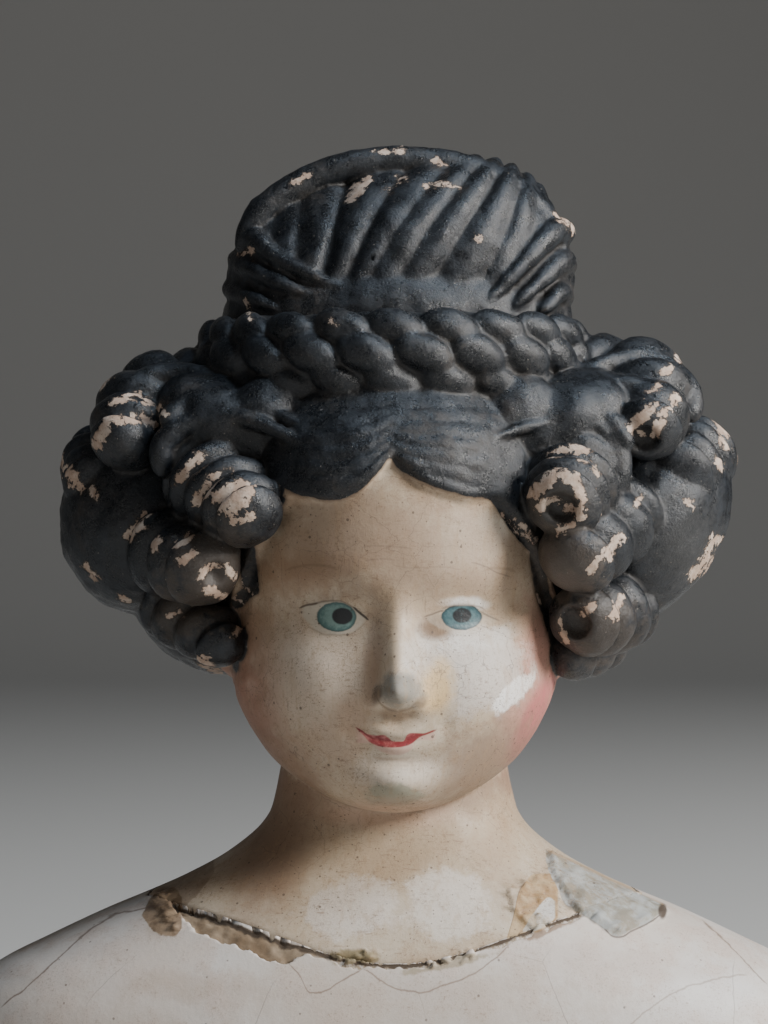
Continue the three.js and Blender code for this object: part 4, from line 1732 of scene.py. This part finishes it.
FACE_LINES = (
    Line(((299, 608), (308, 605), (318, 603)), 1.1, LID, 0.9, taper=3.0),
    Line(((314, 603.5), (325, 601.5), (337, 601), (347, 604), (356, 610)), 0.9, LID, 0.6, taper=3.0),
    Line(((353, 607), (360, 613), (369, 620)), 1.5, (0.03, 0.02, 0.015), 0.9, taper=3.0),
    Line(((306, 624), (316, 631), (330, 635), (345, 635), (357, 630), (366, 622)), 0.9, LID, 0.3, 1.2),
    Line(((424, 617), (432, 614), (444, 610)), 0.9, LID, 0.7, taper=3.0),
    Line(((441, 609), (452, 606), (464, 605), (476, 606), (486, 610)), 1.0, LID, 0.55, 1.1),
    Line(((480, 611), (487, 615), (500, 621)), 0.9, LID, 0.6, taper=4.0),
    # painted shade along the lower edge of the nose's tip
    Line(((375, 690), (378, 700), (386, 708), (398, 712)), 1.3, (0.16, 0.11, 0.07), 0.6, 1.4, 3.0),
    Line(((398, 712), (409, 709), (418, 703), (425, 704)), 1.2, (0.2, 0.14, 0.09), 0.5, 1.4, 3.0),
    Line(((284, 571), (296, 567), (312, 565), (326, 566), (338, 570)), 1.3, (0.22, 0.14, 0.08), 0.5, 1.2),
    Line(((482, 572), (495, 568), (508, 569), (518, 574)), 1.2, (0.24, 0.16, 0.1), 0.45, 1.2),
    Line(((355, 727), (361, 731), (369, 736.5), (376, 740)), 1.0, (0.16, 0.02, 0.02), 0.8, 0.8, 5.0),
    Line(((416, 736), (424, 734.5), (430, 732), (437, 729.5)), 0.9, (0.2, 0.03, 0.025), 0.7, 0.8, 5.0),
    # painted shadow in the crease under the lower lip
    Line(((372, 757), (385, 759), (398, 759.5), (412, 757)), 1.6, (0.4, 0.28, 0.2), 0.5, 1.8),
    Line(((360, 548), (378, 546), (398, 547), (414, 549)), 0.6, (0.2, 0.14, 0.1), 0.5),
    Line(((364, 561), (380, 559), (396, 560)), 0.6, (0.2, 0.14, 0.1), 0.45),
    Line(((392, 565), (412, 568), (438, 567), (462, 570)), 0.5, (0.22, 0.15, 0.1), 0.4),
    Line(((470, 562), (484, 566), (498, 573), (512, 577)), 0.7, (0.16, 0.11, 0.08), 0.6),
    Line(((432, 645), (446, 652), (456, 663), (470, 668)), 0.6, (0.3, 0.26, 0.22), 0.5),
)
JOINT_LINES = (
    # painted shadow along the lower edge of the loose strip, strong at its right end and faint to the left
    Line(((604, 929), (618, 937), (632, 931), (650, 922), (664, 912)),
         1.0, (0.07, 0.05, 0.035), 0.85, taper=3.0),
    Line(((560, 894), (566, 905), (577, 912), (589, 918.5), (604, 928.5)),
         0.9, (0.2, 0.15, 0.1), 0.45, taper=3.0),
    Line(((548, 851), (569, 859.5), (590, 869.5), (610, 879.5), (640, 892.5), (664, 904.5)),
         1.3, (0.34, 0.24, 0.15), 0.7, taper=3.0),
    Line(((508, 937), (514, 914), (519, 892), (526, 882)), 1.2, (0.14, 0.085, 0.04), 0.7, taper=2.0),
)
TORSO_LINES = (
    Line(((288, 963), (300, 976), (316, 993), (338, 983), (363, 968)), 0.8, (0.2, 0.13, 0.09), 0.8),
    Line(((363, 968), (380, 980), (400, 990), (420, 992), (445, 985), (470, 975), (492, 960), (510, 944)),
         0.8, (0.2, 0.13, 0.09), 0.75),
    Line(((416, 988), (421, 1000), (428, 1026)), 0.8, (0.24, 0.17, 0.12), 0.6),
    Line(((0, 1008), (30, 984), (60, 956), (90, 930), (112, 916), (140, 909), (165, 904)),
         0.9, (0.16, 0.1, 0.07), 0.8),
    Line(((700, 918), (722, 938), (745, 962), (768, 986)), 0.9, (0.18, 0.12, 0.08), 0.75),
    Line(((628, 1026), (655, 1005), (680, 990), (712, 980), (748, 974)), 0.8, (0.24, 0.17, 0.12), 0.6),
)


@dataclass(frozen=True)
class Eye:
    """A painted eye, in picture points.

    Args:
        iris: the iris's middle.
        iris_half: half its width and height.
        pupil: the pupil's middle.
        pupil_half: half its width and height.
        upper: the line of the upper lid.
        lower: the lower edge of the white.
        shine: strength of the grey strokes over the pupil.
    """

    iris: Spot
    iris_half: Spot
    pupil: Spot
    pupil_half: Spot
    upper: tuple[Spot, ...]
    lower: tuple[Spot, ...]
    shine: float = 0.0
    bareness: float = 0.6

    white: Colour = (0.54, 0.49, 0.4)
    teal: Colour = (0.055, 0.125, 0.13)
    pale: Colour = (0.11, 0.2, 0.195)
    rim: Colour = (0.035, 0.075, 0.08)
    dark: Colour = (0.012, 0.014, 0.016)

    def lay(self, painter: Painter, coat: Coat, wobble: Socket, grain: Socket) -> None:
        """Paints the eye on a coat.

        Args:
            painter: the finish.
            coat: what it is laid on.
            wobble: a number that moves edges up and down, in picture points.
            grain: a random pattern round 0.
        """
        seen = painter.kept("seen")
        top = painter.math("ADD", painter.line_height(self.upper), wobble)
        below = painter.smooth(painter.minus(painter.down, top), -1.0, 1.0)
        above = painter.minus(painter.line_height(self.lower), painter.down)
        above = painter.smooth(above, -2.0, 2.0)
        left, right = self.upper[0][0], self.upper[-1][0]
        span = painter.times(painter.smooth(painter.across, left, left + 6),
                            painter.smooth(painter.across, right, right - 6))
        below = painter.times(below, seen)
        cover = painter.times(painter.times(below, above), span)
        coat.over(painter.times(cover, self.bareness), self.white, 0.45)
        gap = painter.patch(painter.spot, self.iris, self.iris_half)
        gap = painter.scaled(grain, 0.32, gap)
        cover = painter.times(painter.smooth(gap, 1.05, 0.95), below)
        brushed = painter.scaled(painter.noise(1.1, 3.0), 1.2, -0.6)
        tone = painter.mix(painter.smooth(painter.math("ADD", gap, brushed), 1.0, 0.4), self.teal, self.pale)
        tone = painter.mix(painter.smooth(gap, 0.8, 1.0), tone, self.rim)
        coat.over(cover, tone, 0.4)
        gap = painter.patch(painter.spot, self.pupil, self.pupil_half)
        gap = painter.scaled(grain, 0.3, gap)
        cover = painter.times(painter.smooth(gap, 1.12, 0.88), below)
        blurred = painter.smooth(grain, 0.02, 0.16, 0.0, self.shine)
        coat.over(cover, painter.mix(blurred, self.dark, self.pale), 0.35)


EYES = (
    Eye((337, 617), (20, 14.8), (342.4, 616), (10.5, 8.3),
        ((299, 608.5), (309, 604), (320, 602), (337, 601), (347, 604), (356, 610), (368, 619)),
        ((299, 612), (308, 622), (322, 632), (337, 635), (352, 632), (362, 624), (368, 620)),
        teal=(0.095, 0.175, 0.16), pale=(0.19, 0.29, 0.26), rim=(0.05, 0.1, 0.095)),
    Eye((462, 617), (20, 13.4), (462, 615.5), (9.5, 7.6),
        ((424, 617), (432, 613), (444, 608), (455, 605.5), (470, 605.5), (484, 611), (500, 621)),
        ((424, 618), (434, 625), (448, 631), (462, 632.5), (476, 630), (488, 625), (500, 621)), 0.9, 0.25,
        teal=(0.036, 0.088, 0.1), pale=(0.08, 0.15, 0.16), rim=(0.024, 0.05, 0.055)),
)


@dataclass(frozen=True)
class Mouth:
    """The painted mouth: a red upper lip with a bow, and a pink lower edge, in picture points."""

    bow: tuple[Spot, ...] = (
        (355, 726), (362, 730.5), (369, 734.5), (376, 735.5), (382, 735), (388, 737.5), (396, 741.5),
        (402, 741.5), (407, 735), (413, 733), (422, 733.2), (429, 731.5), (437, 728.8),
    )
    edge: tuple[Spot, ...] = (
        (355, 727.5), (364, 736), (372, 743.5), (382, 746.8), (392, 747.6), (405, 746.4), (411, 744),
        (416, 740), (421, 736.5), (430, 733), (437, 730.5),
    )
    band: tuple[Spot, ...] = ((372, 743), (382, 752), (396, 755), (408, 752), (416, 740))
    red: Colour = (0.26, 0.022, 0.03)
    light: Colour = (0.5, 0.17, 0.155)
    pink: Colour = (0.55, 0.34, 0.28)

    def lay(self, painter: Painter, coat: Coat, wobble: Socket, grain: Socket) -> None:
        """Paints the mouth on a coat."""
        seen = painter.kept("seen")
        lips = ((self.edge, self.band, self.pink, 0.6), (self.bow, self.edge, None, 0.97))
        for upper, lower, colour, share in lips:
            top = painter.math("ADD", painter.line_height(upper), wobble)
            low = painter.math("ADD", painter.line_height(lower), wobble)
            below = painter.smooth(painter.minus(painter.down, top), -0.8, 0.8)
            above = painter.smooth(painter.minus(low, painter.down), -0.8, 0.8)
            span = painter.times(painter.smooth(painter.across, upper[0][0] - 1, upper[0][0] + 5),
                                painter.smooth(painter.across, upper[-1][0] + 1, upper[-1][0] - 5))
            cover = painter.times(painter.times(below, above), span)
            cover = painter.times(cover, painter.times(seen, share))
            worn = painter.mix(painter.smooth(grain, -0.04, 0.14), self.red, self.light)
            coat.over(cover, worn if colour is None else colour, 0.45)


@dataclass(frozen=True)
class Flesh:
    """The worn and stained flesh paint of face, neck and yoke, with painted shade by the nose, under the
    lower lip and on the left of the neck.
    """

    cream: Colour = (0.55, 0.455, 0.345)
    warm: Colour = (0.46, 0.345, 0.235)
    tan: Colour = (0.4, 0.27, 0.16)
    soot: Colour = (0.075, 0.05, 0.035)
    dirt: Colour = (0.22, 0.14, 0.085)

    def lay(self, painter: Painter) -> Coat:
        """Lays the whole of the flesh paint.

        Args:
            painter: the finish.

        Returns:
            The coat.
        """
        noise, smooth, times, mix = painter.noise, painter.smooth, painter.times, painter.mix
        broad = noise(0.03, 3.0)
        middle = noise(0.15, 5.0, 0.65)
        fine = noise(1.3, 5.0, 0.65)
        ragged = painter.minus(noise(0.19, 6.0, 0.7), 0.5)
        wobble = painter.scaled(noise(0.35, 3.0), 3.0, -1.5)
        rough = smooth(middle, 0.3, 0.7, 0.42, 0.58)
        colour = mix(smooth(broad, 0.42, 0.62), self.cream, self.warm)
        coat = Coat(painter, colour, rough, middle)
        coat.over(smooth(middle, 0.46, 0.64, 0.0, 0.4), self.tan, 0.6)
        for mark in (*FACE_STAINS_AND_SHADE, *JOINT_STAINS, *JOINT_BANDS):
            mark.lay(painter, coat, ragged)
        rubbed = painter.streaks((1.0, 1.0, 0.16), 0.6)
        coat.over(smooth(rubbed, 0.52, 0.68, 0.0, 0.3), self.tan, 0.6)
        cloud = smooth(middle, 0.36, 0.6, 0.12, 0.5)
        coat.over(times(smooth(fine, 0.54, 0.68), cloud), self.dirt, 0.65)
        scratches = painter.streaks((1.0, 0.4, 0.06), 2.4)
        coat.over(smooth(scratches, 0.62, 0.72, 0.0, 0.25), self.soot, 0.7)
        hairs = painter.streaks((0.25, 1.0, 1.3), 1.5)
        coat.over(times(smooth(hairs, 0.58, 0.68), cloud), self.dirt, 0.65)
        pepper = smooth(noise(4.0, 2.0, 0.8), 0.53, 0.66, 0.0, 0.9)
        coat.over(times(pepper, cloud), self.dirt, 0.65)
        cracks = smooth(broad, 0.45, 0.55, 0.1, 0.5)
        cracks = times(painter.crackle(0.1, 0.07, 4.0), cracks)
        coat.over(cracks, self.soot, 0.7)
        for eye in EYES:
            eye.lay(painter, coat, times(wobble, 0.3), ragged)
        Mouth().lay(painter, coat, times(wobble, 0.4), ragged)
        for line in (*FACE_LINES, *JOINT_LINES):
            line.lay(painter, coat, times(wobble, 0.6))
        for scale, radius, share in ((0.5, 0.34, 0.3), (1.2, 0.17, 0.45)):
            coat.over(times(painter.specks(scale, radius, share), 0.7), self.soot, 0.7)
        # the flesh paint turns darker in its hollows and folds, where the ridge field is below 0
        ridge = painter.kept("ridge")
        coat.over(smooth(ridge, -0.06, -0.3, 0.0, 0.6), self.dirt, 0.7)
        coat.height = painter.scaled(fine, 0.06, times(middle, 0.16))
        return coat


@dataclass(frozen=True)
class HairPaint:
    """The glossy black paint of the hair, dusty in places, darkened in its hollows as painted shade, and
    chipped on its high places.
    """

    black: Colour = (0.007, 0.0085, 0.011)
    slate: Colour = (0.019, 0.023, 0.029)
    brown: Colour = (0.04, 0.029, 0.02)
    dust: Colour = (0.1, 0.1, 0.095)
    grain: Colour = (0.3, 0.27, 0.23)
    painted_hollow_shade: Colour = (0.022, 0.017, 0.013)
    gesso: Colour = (0.45, 0.32, 0.24)
    pale: Colour = (0.6, 0.485, 0.395)
    stained: Colour = (0.27, 0.18, 0.12)

    def lay(self, painter: Painter) -> Coat:
        """Lays the whole of the hair paint.

        Args:
            painter: the finish.

        Returns:
            The coat.
        """
        noise, smooth, times, mix = painter.noise, painter.smooth, painter.times, painter.mix
        broad = noise(0.045, 4.0, 0.6)
        middle = noise(0.28, 5.0, 0.65)
        fine = noise(1.6, 5.0, 0.7)
        ragged = painter.minus(noise(0.45, 6.0, 0.72), 0.5)
        ridge = painter.kept("ridge")
        colour = mix(smooth(middle, 0.4, 0.72), self.black, self.slate)
        coat = Coat(painter, colour, smooth(middle, 0.3, 0.7, 0.2, 0.42),
                    painter.scaled(fine, 0.2, times(middle, 0.12)))
        worn = times(smooth(broad, 0.5, 0.66), smooth(middle, 0.45, 0.62))
        coat.over(times(worn, 0.6), self.brown, 0.6)
        for mark in HAIR_STAINS:
            mark.lay(painter, coat, ragged)
        # painted shade: the hair's paint turns darker in its hollows
        hollow = painter.scaled(ragged, -0.4, ridge)
        coat.over(smooth(hollow, 0.0, -0.3, 0.0, 0.5), self.painted_hollow_shade, 0.8)
        grit = smooth(noise(2.2, 3.0, 0.85), 0.5, 0.64)
        powder = times(grit, smooth(broad, 0.32, 0.62, 0.15, 0.75))
        coat.over(times(powder, 0.6), self.dust, 0.7)
        coat.over(times(painter.specks(0.9, 0.15, 0.4), 0.7), self.grain, 0.8)
        knocks = painter.scaled(noise(0.2, 4.0, 0.7), 2.6, -2.75)
        knocks = painter.scaled(ridge, 3.4, knocks)
        chip = painter.scaled(ridge, 1.6, painter.kept("chips"))
        chip = painter.math("MAXIMUM", painter.scaled(ragged, 6.0, chip), knocks)
        edge = smooth(chip, -0.6, -0.1)
        coat.over(times(edge, 0.7), self.brown, 0.6)
        tone = mix(smooth(middle, 0.4, 0.65), self.gesso, self.pale)
        tone = mix(smooth(fine, 0.55, 0.68, 0.0, 0.75), tone, self.stained)
        coat.over(smooth(chip, -0.07, 0.07), tone, 0.75, -0.28)
        return coat


HAIR_STAINS = tuple(OvalPatch(*row) for row in (
    ((210, 572), (42, 46), 20, (0.085, 0.064, 0.048), 0.55, 3.0, 0.4, 0.45),
    ((180, 612), (30, 26), 10, (0.08, 0.06, 0.043), 0.55, 3.0, 0.4, 0.45),
    ((562, 566), (36, 38), 0, (0.095, 0.072, 0.055), 0.65, 3.0, 0.35, 0.45),
    ((600, 632), (44, 36), 0, (0.07, 0.053, 0.04), 0.55, 3.0, 0.4, 0.45),
    ((560, 510), (34, 34), 0, (0.07, 0.062, 0.055), 0.45, 3.0, 0.4, 0.4),
    ((690, 550), (32, 50), -20, (0.05, 0.05, 0.05), 0.5, 3.0, 0.5, 0.4),
))


class HeadFinish(Painter):
    """The finish of one zone of the head."""

    thin_edge: Colour = (0.13, 0.085, 0.055)

    def make(self, zone: Zone) -> bpy.types.Material:
        """Lays what the zone needs.

        Args:
            zone: flesh, hair or the edge between them.

        Returns:
            The finish.
        """
        coat = HairPaint().lay(self) if zone is Zone.HAIR else Flesh().lay(self)
        if zone is Zone.EDGE:
            hair = HairPaint().lay(self)
            sway = self.scaled(self.noise(0.5, 3.0), 0.8, -0.4)
            line = self.math("ADD", sway, self.kept("hair"))
            coat.over(self.smooth(line, -0.8, 0.0, 0.0, 0.65), self.thin_edge, 0.5)
            cover = self.smooth(line, -0.12, 0.12)
            coat.over(cover, hair.colour, hair.rough)
            coat.height = self.blend(cover, coat.height, hair.height)
        return coat.put_on()


@dataclass(frozen=True)
class TorsoPaint:
    """The pale, matt paint of shoulders and chest, finely cracked."""

    pale: Colour = (0.585, 0.515, 0.45)
    grey: Colour = (0.62, 0.575, 0.53)
    rose: Colour = (0.54, 0.42, 0.35)
    dirt: Colour = (0.3, 0.22, 0.16)
    soot: Colour = (0.1, 0.07, 0.05)
    torn: Colour = (0.075, 0.052, 0.034)
    crumbs: Colour = (0.2, 0.135, 0.08)
    sized: Colour = (0.33, 0.25, 0.17)

    def lay(self, painter: Painter) -> Coat:
        """Lays the whole of the torso's paint."""
        noise, smooth, times, mix = painter.noise, painter.smooth, painter.times, painter.mix
        broad = noise(0.025, 3.0)
        middle = noise(0.12, 5.0, 0.62)
        fine = noise(1.2, 5.0, 0.65)
        ragged = painter.minus(noise(0.19, 6.0, 0.7), 0.5)
        wobble = painter.scaled(noise(0.3, 4.0), 7.0, -3.5)
        colour = mix(smooth(broad, 0.4, 0.6), self.pale, self.grey)
        coat = Coat(painter, colour, smooth(middle, 0.3, 0.7, 0.46, 0.62), middle)
        coat.over(smooth(middle, 0.44, 0.64, 0.0, 0.5), self.rose, 0.6)
        for mark in (*TORSO_STAINS, *JOINT_STAINS, *JOINT_BANDS, STRIP_END):
            mark.lay(painter, coat, ragged)
        stained = times(smooth(fine, 0.56, 0.7), smooth(middle, 0.36, 0.6))
        coat.over(times(stained, 0.6), self.dirt, 0.65)
        cracks = smooth(broad, 0.46, 0.58, 0.0, 0.45)
        cracks = times(painter.crackle(0.022, 0.14, 5.0), cracks)
        coat.over(cracks, self.soot, 0.7)
        pepper = smooth(noise(2.8, 2.0, 0.8), 0.55, 0.68, 0.0, 0.5)
        coat.over(times(pepper, smooth(middle, 0.35, 0.6)), self.dirt, 0.65)
        for line in TORSO_LINES:
            line.lay(painter, coat, wobble)
        for line in JOINT_LINES:
            line.lay(painter, coat, times(wobble, 0.2))
        coat.over(times(painter.specks(0.45, 0.3, 0.25), 0.6), self.soot, 0.7)
        reach = painter.scaled(ragged, 2.4, painter.kept("bared"))
        layer = mix(smooth(middle, 0.35, 0.65), self.crumbs, self.sized)
        dry = mix(smooth(fine, 0.42, 0.6), self.sized, self.pale)
        layer = mix(smooth(painter.across, 290.0, 345.0), layer, dry)
        bared = mix(smooth(reach, 0.35, 1.1), self.torn, layer)
        coat.over(smooth(painter.kept("broken"), 0.25, 0.7), bared, 0.9)
        coat.height = painter.scaled(fine, 0.06, times(middle, 0.18))
        return coat


TORSO_STAINS = tuple(OvalPatch(*row) for row in (
    ((95, 985), (100, 44), -20, (0.66, 0.55, 0.465), 0.5, 1.6, 0.6),
    ((196, 986), (50, 16), 6, (0.44, 0.33, 0.25), 0.45, 2.6, 0.6),
    ((160, 925), (16, 12), 0, (0.42, 0.32, 0.24), 0.5, 2.6, 0.5),
    ((560, 965), (60, 22), -12, (0.52, 0.43, 0.36), 0.45, 2.4, 0.5),
    ((700, 1000), (60, 26), -10, (0.66, 0.64, 0.62), 0.5, 2.4, 0.4),
    ((640, 965), (70, 14), 8, (0.5, 0.43, 0.38), 0.35, 2.4, 0.5),
    ((400, 1002), (190, 34), 0, (0.5, 0.42, 0.35), 0.6, 2.4, 0.6),
))
STRIP_END = OvalPatch((662.5, 911), (4.5, 8), 0, (0.05, 0.032, 0.02), 0.95, 0.7, 0.25, 0.7)


class TorsoFinish(Painter):
    """The finish of the torso."""

    def make(self) -> bpy.types.Material:
        """Puts the paint on the shader."""
        return TorsoPaint().lay(self).put_on()


@dataclass(frozen=True)
class Lamp:
    """A soft square light.

    Args:
        name: its name.
        place: where it stands, in metres.
        size: length of its side, in metres.
        watts: its power.
        colour: its colour.
    """

    name: str
    place: Row
    size: float
    watts: float
    colour: Row

    def build(self, aim: Row) -> None:
        """Adds the light, pointed at a place."""
        data = bpy.data.lights.new(self.name, "AREA")
        data.size = self.size
        data.energy = self.watts
        data.color = self.colour
        lamp = bpy.data.objects.new(self.name, data)
        lamp.location = self.place
        lamp.rotation_euler = (Vector(aim) - Vector(self.place)).to_track_quat("-Z", "Y").to_euler()
        bpy.context.scene.collection.objects.link(lamp)


LAMPS = (
    Lamp("key", (0.95, -0.45, 0.6), 0.36, 23.0, (1.0, 0.97, 0.93)),
    Lamp("sky", (0.45, -0.35, 1.1), 0.22, 7.0, (0.66, 0.82, 1.0)),
    Lamp("fill", (-0.6, -1.0, 0.3), 0.6, 0.9, (1.0, 0.95, 0.9)),
)


@dataclass(frozen=True)
class Stage:
    """The floor, the lights and the camera. Lengths are in metres.

    Args:
        sensor: width of the camera's sensor, in millimetres.
        image: width and height of the picture, in picture points.
        nearest: how near to the camera a thing still shows.
        wall_distance: how far behind the middle the floor begins to curve up.
        wall_height: how far the wall rises above the curve.
        curve: radius of the curve between floor and wall.
        paper: colour of floor and wall.
        paper_rough: their roughness.
        aim: middle of the head, which the lights point at.
        air: colour of the light from all sides.
        air_strength: its strength.
    """

    sensor: float = 36.0
    image: tuple[int, int] = (768, 1024)
    nearest: float = 0.01
    wall_distance: float = 1.6
    wall_height: float = 2.5
    curve: float = 1.2
    paper: Row = (0.5, 0.485, 0.46, 1.0)
    paper_rough: float = 0.95
    aim: Row = (0.0, 0.0, 0.12)
    air: Row = (0.75, 0.77, 0.8, 1.0)
    air_strength: float = 0.06

    def floor(self) -> None:
        """Makes a plain pale floor that curves up into a wall far behind."""
        mesh = bmesh.new()
        bmesh.ops.create_grid(mesh, x_segments=2, y_segments=64, size=self.wall_distance + self.curve)
        flat = self.wall_distance
        for vert in mesh.verts:
            over = vert.co.y - flat
            if over > 0:
                angle = math.pi / 2 * min(1.0, over / self.curve)
                vert.co.z = self.curve * (1 - math.cos(angle))
                vert.co.z += self.wall_height if over >= self.curve * 0.999 else 0
                vert.co.y = flat + self.curve * math.sin(angle)
        data = bpy.data.meshes.new("floor")
        mesh.to_mesh(data)
        mesh.free()
        data.shade_smooth()
        floor = bpy.data.objects.new("floor", data)
        bpy.context.scene.collection.objects.link(floor)
        finish = bpy.data.materials.new("floor_paper")
        finish.use_nodes = True
        shader = finish.node_tree.nodes["Principled BSDF"]
        shader.inputs["Base Color"].default_value = self.paper
        shader.inputs["Roughness"].default_value = self.paper_rough
        data.materials.append(finish)

    def camera(self) -> None:
        """Adds the camera at the view in which the painting is laid out."""
        data = bpy.data.cameras.new("camera")
        data.sensor_width = self.sensor
        data.sensor_fit = "AUTO"
        data.lens = self.sensor * VIEW.reach / self.image[1]
        data.clip_start = self.nearest
        camera = bpy.data.objects.new("camera", data)
        camera.location = LAYOUT.to_frame(np.array([VIEW.eye]))[0]
        camera.rotation_euler = (math.pi / 2, 0.0, 0.0)
        bpy.context.scene.collection.objects.link(camera)
        bpy.context.scene.camera = camera

    def build(self) -> None:
        """Makes the whole stage."""
        self.camera()
        self.floor()
        for lamp in LAMPS:
            lamp.build(self.aim)
        world = bpy.data.worlds.new("studio")
        world.use_nodes = True
        background = world.node_tree.nodes["Background"]
        background.inputs["Color"].default_value = self.air
        background.inputs["Strength"].default_value = self.air_strength
        bpy.context.scene.world = world


def main() -> None:
    """Builds the bust and stages it."""
    logging.basicConfig(level=logging.INFO, format="%(asctime)s %(name)s: %(message)s")
    Stage().build()
    body = Body()
    head = Head(Skull(), Yoke(body)).build()
    torso = Torso(body).build()
    for zone in Zone:
        head.data.materials.append(HeadFinish(f"{zone.name.lower()}_paint").make(zone))
    torso.data.materials.append(TorsoFinish("torso_paint").make())
    for piece, node in ((head, "head"), (torso, "torso")):
        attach(piece, "root")
        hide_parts(node)
        log.info("%s: %d faces", piece.name, len(piece.data.polygons))


if __name__ == "__main__":
    main()
